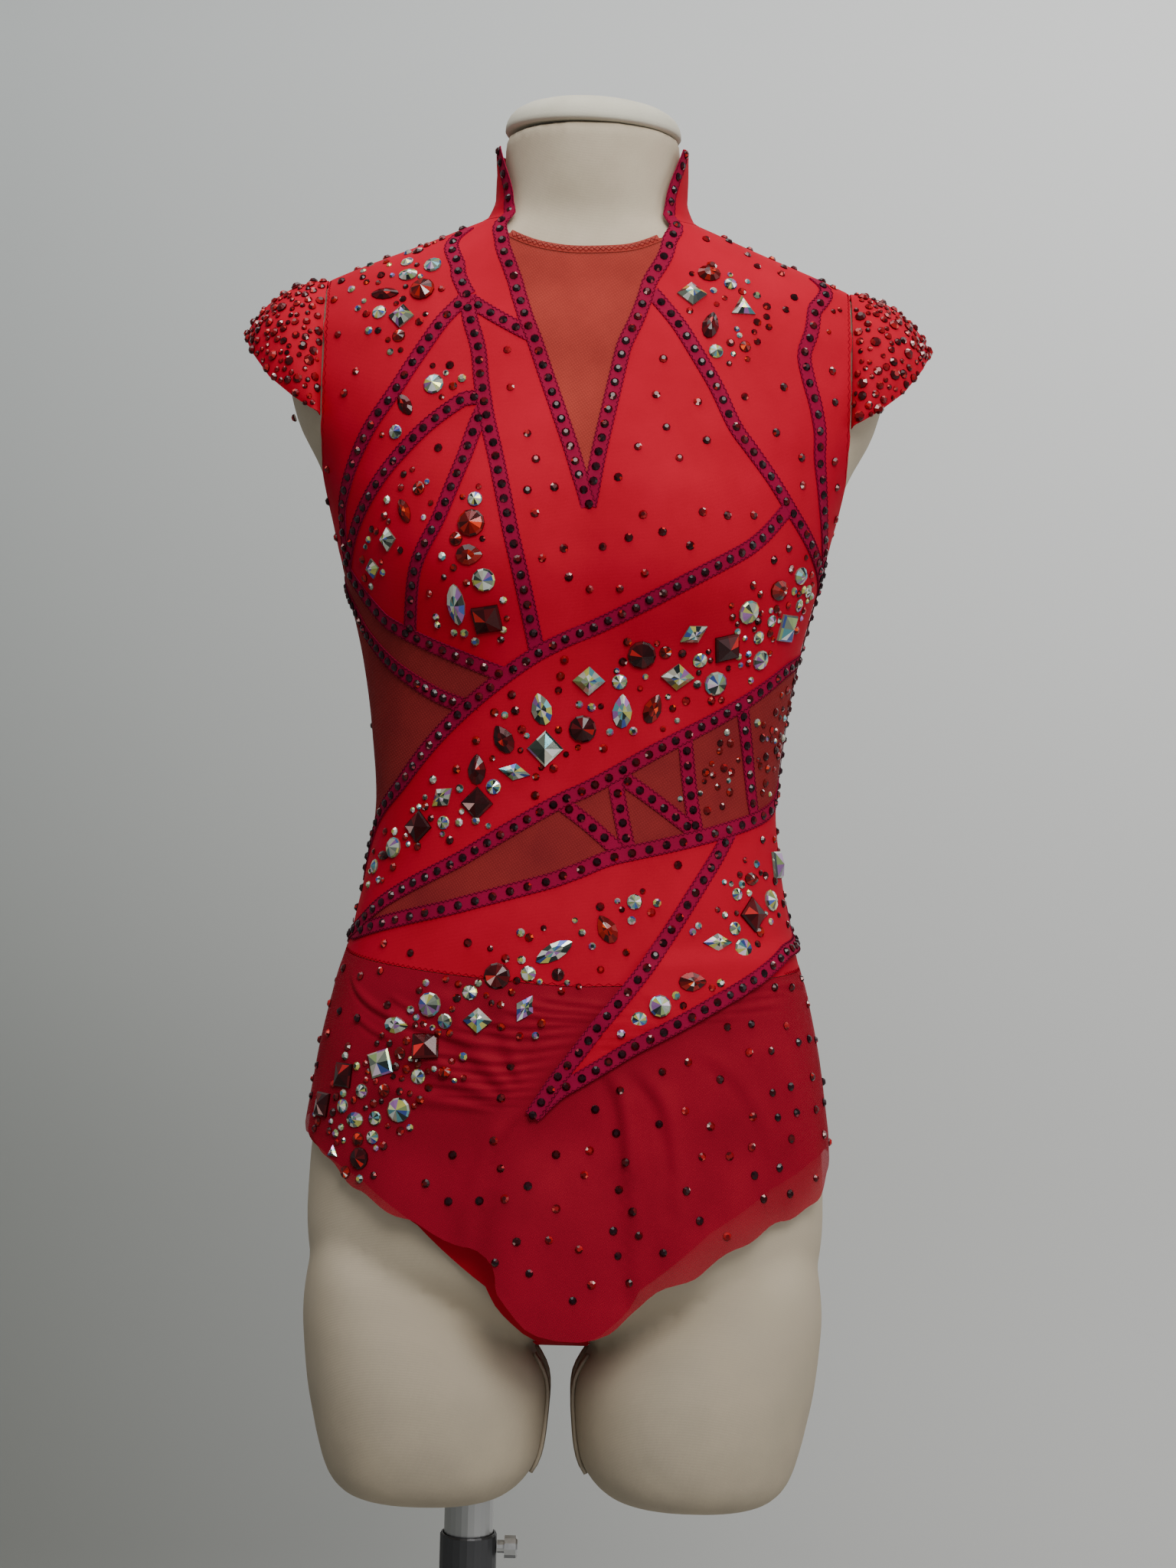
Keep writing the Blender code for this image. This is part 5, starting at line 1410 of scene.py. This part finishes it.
def build_cap(materials):
    """The padded top of the neck, over a sewn seam."""
    section = section_at(BODY_TOP)
    builder = bmesh.new()
    rings = []
    profile = [(-0.8, 0.95), (-0.2, 0.99), (0.8, 1.002), (3, 1.0), (6, 0.985), (9, 0.955), (12, 0.9),
               (14.5, 0.82), (16.6, 0.7), (18.2, 0.52), (19, 0.3), (19.3, 0.1)]
    for rise, share in profile:
        ring = []
        for index in range(LIMB_POINTS):
            point = skin(360 * index / LIMB_POINTS, BODY_TOP)
            x = point.x * share * CAP_SHARE
            y = section.centre + (point.y - section.centre) * share * CAP_SHARE
            ring.append(builder.verts.new(Vector((x, y, BODY_TOP - 0.8 + rise - point.x * 0.02))))
        rings.append(ring)
    close_rings(builder, rings)
    bmesh.ops.recalc_face_normals(builder, faces=builder.faces)
    return finish_piece("neck_cap", builder, materials["cap_linen"])


def build_welts(materials):
    """Raised seams of the form's cover down the inside of both thighs."""
    builder = bmesh.new()
    for side in (1, -1):
        for y in (-16, 12):
            points = []
            for step in range(15):
                height = 506 + 72 * step / 14
                row = row_at(THIGH, height)
                sag = 1.5 * math.sin(step * 1.3)
                reach = row.half_width * (1 - abs(y / row.back)**LIMB_POWER)**(1 / LIMB_POWER)
                points.append(Vector((side * (row.across - reach - 0.6), y + sag * 0.4, height)))
            add_thread(builder, points, WELT_RADIUS)
    welts = finish_piece("form_welts", builder, materials["linen"])


def dress_stand(materials):
    """Finishes of the stand's own solids."""
    for label, finish in (("pole", "steel"), ("clamp_screw", "steel"), ("stand_tube", "dark_steel"),
                          ("stand_base", "dark_steel")):
        item = bpy.data.objects.get(label)
        if item:
            for slot in item.material_slots:
                slot.material = materials[finish]


# Garment


def panel_finish(label):
    if label == "neck_mesh":
        return "neck_net"
    if "mesh" in label or label in ("waist_panel", "waist_side_panel"):
        return "dark_net"
    return "knit"


def build_front(materials):
    """All front panels above the hip seam, cut from one sheet along the seams under the tapes."""
    outline = refine(front_outline(), 6)
    seams = seam_strips()
    spare = grid_points(outline, seams, 6.0)
    flat, triangles, owners = triangulate([outline] + seams, spare)
    seam_ids = set(range(1, 1 + len(seams)))
    kept = [tuple(t) for t, own in zip(triangles, owners) if 0 in own and not seam_ids & own]
    groups = patches(kept)
    for label, (turn, height) in PANEL_SEEDS.items():
        seed = plan(turn, height)
        for group in groups:
            if any(inside(seed, [flat[c] for c in triangle]) for triangle in group):
                item = sheet_from(label + "_cloth", flat, group, body_cloth, CLOTH_BASE,
                                  materials[panel_finish(label)])
                finish_sheet(item, CLOTH, label)
                break


def plain_panel(label, pairs, surface, finish, materials, step):
    """A panel without seams, from its outline as turns and heights."""
    outline = refine([plan(turn, height) for turn, height in pairs], step)
    flat, group = cut_out(outline, [], grid_points(outline, [], step))
    item = sheet_from(label + "_cloth", flat, group, surface, CLOTH_BASE, materials[finish])
    finish_sheet(item, CLOTH, label)


def build_point(materials):
    """The pointed front piece, from the waist over the hip seam to its tip on the skirt."""
    pairs = [(p.x / PLAN, p.y) for p in point_outline()]
    plain_panel("point_panel", pairs, point_cloth, "knit", materials, 3.0)


def build_backs(materials):
    """Left and right back, from hip seam to neck, meeting at the centre back."""
    gap = SEAM / PLAN
    for label, side in (("back_right", 1), ("back_left", -1)):
        hem = [(turn * side, along(HIP_LINE, turn * side) + SEAM) for turn in (180 - gap, 135, 90 + gap)]
        armhole = [((180 - armhole_turn(z) + gap) * side, z)
                   for z in (1090, 1107, 1112, 1120, 1132, 1148, 1165, 1182, 1198, 1210, 1219, 1225, 1232)]
        neck = [((90 + gap) * side, NECK_EDGE), ((180 - gap) * side, NECK_EDGE)]
        plain_panel(label, hem + armhole + neck, body_cloth, "knit", materials, 5.0)


def build_brief(materials):
    """The brief under the skirt, with its gusset."""
    gap = SEAM / PLAN
    for label, leg, facing in (("brief_front", LEG_FRONT, 0), ("brief_back", LEG_BACK, 180)):
        turns = [90 - gap, 60, 30, 0, -30, -60, gap - 90]
        top = [(turn + facing, hip_height(turn + facing) - SEAM) for turn in turns]
        left = [(facing - turn, height) for turn, height in leg[::-1]]
        right = [(facing + turn, height) for turn, height in leg]
        left[0] = (left[0][0] + gap, left[0][1])
        right[-1] = (right[-1][0] - gap, right[-1][1])
        plain_panel(label, top + left + right, cloth, "lining", materials, 8.0)
    heights = [590.4, 588, 585.6, 583.4]
    half_widths = [17, 16, 15, 14.5, 14.5, 14.5, 15, 16.5, 18]
    path = [skin(0, height) for height in heights]
    path += [Vector((0, SECTIONS[0].centre, BODY_BOTTOM))]
    path += [skin(180, height) for height in heights[::-1]]
    rows = [[Vector((half_width * (2 * c / 8 - 1), point.y, point.z)) for c in range(9)]
            for point, half_width in zip(path, half_widths)]
    gusset = loft("gusset_cloth", rows, materials["lining"], Vector((0, 4, 640)))
    finish_sheet(gusset, CLOTH, "gusset")


def build_collar(materials):
    """The stand collar round the sides and back of the neck, open at the front."""
    rows = []
    steps = 14
    for step in range(steps + 1):
        height = NECK_SEAM + NECK_GAP + (COLLAR_TOP - NECK_SEAM - NECK_GAP) * step / steps
        start = along(TAPES["v_right"], height, 1)
        end = 360 + along(TAPES["v_left"], height, 1)
        rows.append([cloth((start + (end - start) * c / 96 + 180) % 360 - 180, height,
                           CLOTH_BASE + 0.5 * math.sin(c * 0.7) * step / steps) for c in range(97)])
    item = loft("collar_cloth", rows, materials["knit"])
    finish_sheet(item, CLOTH, "collar")


def sleeve_point(share, t, out=0.0):
    """A place on the right cap sleeve: share runs round the armhole, t from seam to hem."""
    start = sleeve_seam(share, 0.8)
    point = start.lerp(sleeve_hem(share), t)
    away = (point - SLEEVE_MIDDLE).normalized()
    bulge = SLEEVE_BULGE * 4 * t * (1 - t) * math.sin(math.pi * share)**0.5
    return point + away * (bulge + out)


def build_sleeves(materials, stones):
    around, across = 56, 14
    for label, mirror in (("sleeve_right", 1), ("sleeve_left", -1)):
        rows = []
        for column in range(across + 1):
            row = []
            for index in range(around + 1):
                point = sleeve_point(index / around, column / across)
                row.append(Vector((point.x * mirror, point.y, point.z)))
            rows.append(row)
        centre = Vector((SLEEVE_MIDDLE.x * mirror, SLEEVE_MIDDLE.y, SLEEVE_MIDDLE.z))
        item = loft(label + "_cloth", rows, materials["knit"], centre)
        finish_sheet(item, CLOTH * 0.8, label)
        cover_sleeve(stones, mirror)


def cover_sleeve(stones, mirror):
    """Stones set close over a cap sleeve, of mixed small sizes."""
    rng = stones.rng
    placed = []
    for _ in range(2600):
        share = rng.uniform(0.03, 0.97)
        t = rng.uniform(0.05, 0.98)
        size_here = rng.choice((3.2, 4.7, 4.7, 5.6, 6.5))
        point = sleeve_point(share, t, 0.9)
        if any((point - other).length < (size_here + room) * 0.5 + 0.7 for other, room in placed):
            continue
        placed.append((point, size_here))
        across = (sleeve_point(min(share + 0.01, 1), t) - sleeve_point(max(share - 0.01, 0), t)).normalized()
        up = (sleeve_point(share, max(t - 0.02, 0)) - sleeve_point(share, min(t + 0.02, 1))).normalized()
        away = across.cross(up).normalized()
        if away.dot(point - SLEEVE_MIDDLE) < 0:
            away = -away
        place = [Vector((v.x * mirror, v.y, v.z)) for v in (point, across, up, away)]
        if mirror < 0:
            place[1] = -place[1]
        place[2] = place[3].cross(place[1]).normalized()
        colour = rng.choice(("dark", "siam", "siam", "siam"))
        stones.add_at(place, "round", colour, size_here, size_here, 0)


def build_tapes(materials, stones):
    """Raspberry tapes with a zigzag stitch down both edges and a row of dark stones."""
    lines = {label: smooth_line(line, 5) for label, line in TAPES.items()}
    labels = list(lines)
    thread = bmesh.new()
    for order, label in enumerate(labels):
        own = strip(lines[label], TAPE_WIDTH / 2)
        before = [strip(lines[other], TAPE_WIDTH / 2 + 0.15, 0.1) for other in labels[:order]]
        box = box_of(own)
        reach = [outline for outline in before if boxes_meet(box, box_of(outline))]
        flat, group = cut_out(own, reach, [])
        surface = point_cloth if label.startswith("point") else body_cloth
        item = sheet_from("tape_" + label + "_cloth", flat, group, surface, TAPE_ON, materials["tape"])
        finish_sheet(item, TAPE, "tape_" + label)
        for side in (-1, 1):
            path = zigzag(lines[label], side * (TAPE_WIDTH / 2 - TAPE_STITCH.inset), TAPE_STITCH.pitch,
                          TAPE_STITCH.reach)
            places = []
            for point in path:
                covered = any(inside_box(point, box_of(o)) and inside(point, o) for o in reach)
                places.append(None if covered else
                              surface(point.x / PLAN, point.y, TAPE_TOP + 0.12))
            add_runs(thread, places, TAPE_STITCH.radius)
        set_row(stones, label, lines[label], surface)
    finish_piece("tape_stitches", thread, materials["thread"])


def boxes_meet(a, b):
    return a[0] <= b[1] and b[0] <= a[1] and a[2] <= b[3] and b[2] <= a[3]


def set_row(stones, label, line, surface):
    """A row of dark stones along the middle of a tape."""
    pitch = TAPE_PITCHES.get(label, TAPE_PITCH)
    rng = stones.rng
    for point in resample(line, pitch)[0 if label.startswith("v_") else 1:]:
        spot = point + Vector((rng.uniform(-0.3, 0.3), rng.uniform(-0.3, 0.3)))
        middle = surface(spot.x / PLAN, spot.y, TAPE_TOP)
        if not stones.clear_of(middle, 2.4):
            continue
        stones.add(surface, spot.x / PLAN, spot.y, "round", rng.choice(("garnet", "garnet", "dark")),
                   TAPE_STONE, TAPE_STONE, rng.uniform(0, 45), TAPE_TOP)


def in_folds(point):
    """True where the skirt has small folds and needs small triangles."""
    turn = point.x / PLAN
    return (-72 < turn < 24 and 700 < point.y < 806) or (24 <= turn < 88 and 782 < point.y < 812)


def build_skirt(materials):
    """The skirt: a sheer front that falls to a soft point, and a plainer back."""
    gap = SKIRT_GAP / PLAN
    turns = [-90 + gap] + list(range(-86, 90, 4)) + [90 - gap]
    top = [(turn, along(HIP_LINE, turn) - SEAM) for turn in turns]
    first = (gap - 90, HEM_FRONT[0][1])
    last = (90 - gap, HEM_FRONT[-1][1])
    hem_line = smooth_line([first] + HEM_FRONT[1:-1] + [last], 5)
    hem = []
    for index, point in enumerate(hem_line):
        ripple = 1.3 * math.sin(index * 0.9) + 0.8 * math.sin(index * 0.37)
        hem.append((point.x / PLAN, point.y + (ripple if 3 < index < len(hem_line) - 4 else 0)))
    outline = refine([plan(turn, height) for turn, height in hem + top[::-1]], 5)
    spare = [point for point in grid_points(outline, [], 4.0) if not in_folds(point)]
    spare += [point for point in grid_points(outline, [], 1.7) if in_folds(point)]
    flat, group = cut_out(outline, [], spare)
    front = sheet_from("skirt_front_cloth", flat, group, skirt_cloth, 0.0, materials["skirt_net"])
    rows = []
    for r in range(31):
        row = []
        for c in range(121):
            turn = (90 + gap + (180 - 2 * gap) * c / 120 + 180) % 360 - 180
            low, high = hem_height(turn), along(HIP_LINE, turn) - SEAM
            row.append(skirt_cloth(turn, low + (high - low) * r / 30, 0.0))
        rows.append(row)
    back = loft("skirt_back_cloth", rows, materials["skirt_net"])
    for item, label in ((front, "skirt_front"), (back, "skirt_back")):
        finish_sheet(item, SKIRT_WALL, label)


def build_binding(materials):
    """The narrow binding along the top of the neck mesh, with crossed stitches."""
    line = smooth_line(NECK_LINE, 3)
    own = strip(line, BINDING_WIDTH * 0.6)
    before = [strip(smooth_line(TAPES[label], 5), TAPE_WIDTH / 2 + 0.15) for label in ("v_left", "v_right")]
    flat, group = cut_out(own, before, [])
    item = sheet_from("neck_binding_cloth", flat, group, body_cloth, TAPE_ON, materials["neck_net"])
    finish_sheet(item, TAPE, "neck_binding")
    thread = bmesh.new()
    for side in (1, -1):
        path = zigzag(line, 0, BINDING_STITCH.pitch, BINDING_STITCH.reach * side)
        points = [p for p in path if not any(inside(p, outline) for outline in before)]
        add_thread(thread, [body_cloth(p.x / PLAN, p.y, TAPE_ON + 0.7) for p in points],
                   BINDING_STITCH.radius)
    finish_piece("binding_stitches", thread, materials["red_thread"])


def build_seam_stitches(materials):
    """Zigzag stitches along the armholes and the hip seam."""
    thread = bmesh.new()
    low, high = ARMHOLE_STITCHES
    for mirror in (1, -1):
        run = []
        for step in range(121):
            height = low + (high - low) * math.sin(math.pi * step / 120)**0.9
            turn = armhole_turn(height) - (2.6 if step % 2 else 1.0) / PLAN
            angle = (turn if step <= 60 else 180 - turn) * mirror
            run.append(body_cloth(angle, height, PANEL_TOP + 0.1))
        add_thread(thread, run, ARMHOLE_THREAD)
    places = []
    for step in range(361):
        turn = -179 + 358 * step / 360
        height = hip_height(turn) + (1.8 if step % 2 else 0.2)
        hidden = along(TAPES["point_left"], 803, 1) < turn < HIP_STITCHES_FROM
        places.append(None if hidden else body_cloth(turn, height, PANEL_TOP + 0.1))
    add_runs(thread, places, HIP_THREAD)
    finish_piece("seam_stitches", thread, materials["red_thread"])


def set_large_stones(stones):
    for stone in STONES:
        surface = on_part(stone.height, stone.turn)
        stones.add(surface, stone.turn, stone.height, stone.cut, stone.colour, stone.length,
                   stone.width or stone.length, stone.lean, stone_base(surface))


def stone_base(surface):
    return SKIRT_TOP if surface is skirt_cloth else PANEL_TOP


def scatter_clusters(stones, tape_lines):
    """Small stones between the large ones, thinning away from them, and a few tight groups."""
    rng = stones.rng
    for stone in [stone for stone in STONES if stone.length >= 7]:
        for _ in range(9):
            angle = rng.uniform(0, 2 * math.pi)
            reach = max(stone.length, stone.width or 0) * 0.5 + rng.uniform(2.4, 10.0)
            turn = stone.turn + math.cos(angle) * reach / 2.35
            height = stone.height + math.sin(angle) * reach
            small = rng.choice((3.6, 4.4, 5.1))
            drop_stone(stones, tape_lines, turn, height, small,
                       rng.choice(("clear", "clear", "red", "dark", "siam")), 0.4)
    for group in GROUPS:
        for _ in range(group.tries):
            small = rng.choice((3.4, 4.2, 5.1))
            drop_stone(stones, tape_lines, rng.gauss(group.turn, group.wide),
                       rng.gauss(group.height, group.tall), small,
                       rng.choice(("clear", "siam", "dark", "red")), 0.5)


def scatter_field(stones, tape_lines):
    """Single red and garnet stones strewn widely over the red cloth and the skirt."""
    rng = stones.rng
    for zone in FIELDS:
        for _ in range(zone.tries):
            turn = rng.uniform(zone.turn_low, zone.turn_high)
            height = rng.uniform(zone.low, zone.high)
            if hem_height(turn) + 9 > height:
                continue
            drop_stone(stones, tape_lines, turn, height, rng.choice((4.7, 5.1, 5.1)),
                       rng.choice(zone.colours), zone.space)


def drop_stone(stones, tape_lines, turn, height, small, colour, space):
    """Adds a small stone where there is room for it beside the others and the tapes."""
    if abs(turn) < 40 and height > NECK_LINE_TOP or height > NECK_SEAM - 4:
        return
    if armhole_turn(height) - 3 < abs(turn) < 183 - armhole_turn(height):
        return
    surface = on_part(height, turn)
    if in_net(turn, height) or height < hem_height(turn) + 5:
        return
    point = plan(turn, height)
    if tape_lines.distance(point) < TAPE_WIDTH / 2 + small / 2 + 0.8:
        return
    out = stone_base(surface)
    middle = surface(turn, height, out)
    if stones.clear_of(middle, small / 2 + space):
        stones.add(surface, turn, height, "round", colour, small, small, stones.rng.uniform(0, 360), out)


def in_net(turn, height):
    """True in the neck mesh and the meshes left bare of stones."""
    if along(TAPES["v_left"], height, 1) < turn < along(TAPES["v_right"], height, 1) \
            and height > NECK_MESH_FOOT:
        return True
    if -92 < turn < -18 and height < along(TAPES["bust_left"][5:], turn) \
            and height > along(TAPES["sash_top"], turn) and height < SIDE_MESH_TOP:
        return True
    if turn < 28 and height < along(TAPES["sash_bottom"], turn) \
            and height > along(TAPES["waist_bottom"], turn):
        return True
    return False


# Room, light and camera

def wall_material():
    """A matt pale wall with painted light, its colour brighter towards the upper right as beside a window,
    and clear from behind.
    """
    material, tree, shader = new_material("pale_wall", {"Roughness": 0.9})
    where = node(tree, "TexCoord")
    parts = node(tree, "SeparateXYZ")
    link(tree, where, "Object", parts, "Vector")
    up = node(tree, "MapRange", {"From Min": 0.1, "From Max": 1.8})
    link(tree, parts, "Z", up, "Value")
    across = node(tree, "MapRange", {"From Min": -0.7, "From Max": 0.7})
    link(tree, parts, "X", across, "Value")
    both = node(tree, "Mix", data_type="RGBA")
    link(tree, across, "Result", both, "Factor")
    # painted light: the wall's colour runs from dark at the lower left to bright at the upper right
    for side, (low, high) in zip(("A", "B"), WALL_PAINTED_LIGHT):
        shade = node(tree, "Mix", {"A": low, "B": high}, data_type="RGBA")
        link(tree, up, "Result", shade, "Factor")
        link(tree, shade, "Result", both, side)
    link(tree, both, "Result", shader, "Base Color")
    face = node(tree, "NewGeometry")
    seen = node(tree, "Math", {0: 1.0}, operation="SUBTRACT")
    link(tree, face, "Backfacing", seen, 1)
    link(tree, seen, "Value", shader, "Alpha")
    return material


def build_room():
    """A pale floor that curves up into a plain wall."""
    builder = bmesh.new()
    left = [builder.verts.new((-3200, y, z)) for y, z in ROOM_PROFILE]
    edges = [builder.edges.new((a, b)) for a, b in zip(left, left[1:])]
    swept = bmesh.ops.extrude_edge_only(builder, edges=edges)["geom"]
    bmesh.ops.translate(builder, vec=(6400, 0, 0),
                        verts=[part for part in swept if isinstance(part, bmesh.types.BMVert)])
    for vertex in builder.verts:
        vertex.co *= MM
    bmesh.ops.recalc_face_normals(builder, faces=builder.faces)
    if sum(face.normal.z * face.calc_area() for face in builder.faces) < 0:
        bmesh.ops.reverse_faces(builder, faces=builder.faces)
    mesh = bpy.data.meshes.new("room")
    builder.to_mesh(mesh)
    builder.free()
    for polygon in mesh.polygons:
        polygon.use_smooth = True
    room = bpy.data.objects.new("room", mesh)
    room.data.materials.append(wall_material())
    bpy.context.scene.collection.objects.link(room)
    bend = room.modifiers.new("curve", "SUBSURF")
    bend.levels = bend.render_levels = 3


def add_lamp(lamp):
    light = bpy.data.lights.new(lamp.name, "AREA")
    light.shape = "RECTANGLE"
    light.size = lamp.wide
    light.size_y = lamp.tall
    light.energy = lamp.power
    light.color = lamp.colour
    item = bpy.data.objects.new(lamp.name, light)
    item.location = lamp.place
    ahead = Vector(lamp.target) - Vector(lamp.place)
    item.rotation_euler = ahead.to_track_quat("-Z", "Y").to_euler()
    bpy.context.scene.collection.objects.link(item)


def add_light():
    for lamp in LAMPS:
        add_lamp(lamp)
    world = bpy.data.worlds.new("room_light")
    world.use_nodes = True
    world.node_tree.nodes["Background"].inputs["Color"].default_value = (0.84, 0.86, 0.88, 1)
    world.node_tree.nodes["Background"].inputs["Strength"].default_value = 0.3
    bpy.context.scene.world = world


def add_camera():
    camera = bpy.data.cameras.new("camera")
    camera.sensor_fit = "VERTICAL"
    camera.sensor_height = 24.0
    camera.lens = 24.0 * EYE_DISTANCE / FRAME_HEIGHT
    item = bpy.data.objects.new("camera", camera)
    lean = Vector((-ROLL, 0, 1)).normalized()
    side = Vector((1, 0, ROLL)).normalized()
    turn = Matrix((side, lean, Vector((0, -1, 0)))).transposed()
    item.matrix_world = Matrix.Translation(Vector((EYE_X, -EYE_DISTANCE, EYE_HEIGHT)) * MM) @ turn.to_4x4()
    bpy.context.scene.collection.objects.link(item)
    bpy.context.scene.camera = item


def build_all():
    materials = make_materials()
    build_form(materials)
    dress_stand(materials)
    build_front(materials)
    build_point(materials)
    build_backs(materials)
    build_brief(materials)
    build_collar(materials)
    stones = StoneSet(7)
    build_tapes(materials, stones)
    build_sleeves(materials, stones)
    build_skirt(materials)
    build_binding(materials)
    build_seam_stitches(materials)
    set_large_stones(stones)
    tape_lines = Lines([smooth_line(line, 4) + smooth_line(line, 4)[::-1] for line in TAPES.values()])
    scatter_clusters(stones, tape_lines)
    scatter_field(stones, tape_lines)
    stones.finish(materials)
    build_room()
    add_light()
    add_camera()


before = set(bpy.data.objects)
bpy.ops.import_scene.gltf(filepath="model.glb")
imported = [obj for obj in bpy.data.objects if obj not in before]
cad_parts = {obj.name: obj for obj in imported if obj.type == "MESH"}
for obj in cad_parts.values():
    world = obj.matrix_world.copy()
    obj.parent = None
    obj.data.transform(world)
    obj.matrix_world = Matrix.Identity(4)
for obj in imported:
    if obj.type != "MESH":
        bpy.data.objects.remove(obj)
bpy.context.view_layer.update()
CREASE_LINES = crease_lines()
build_all()
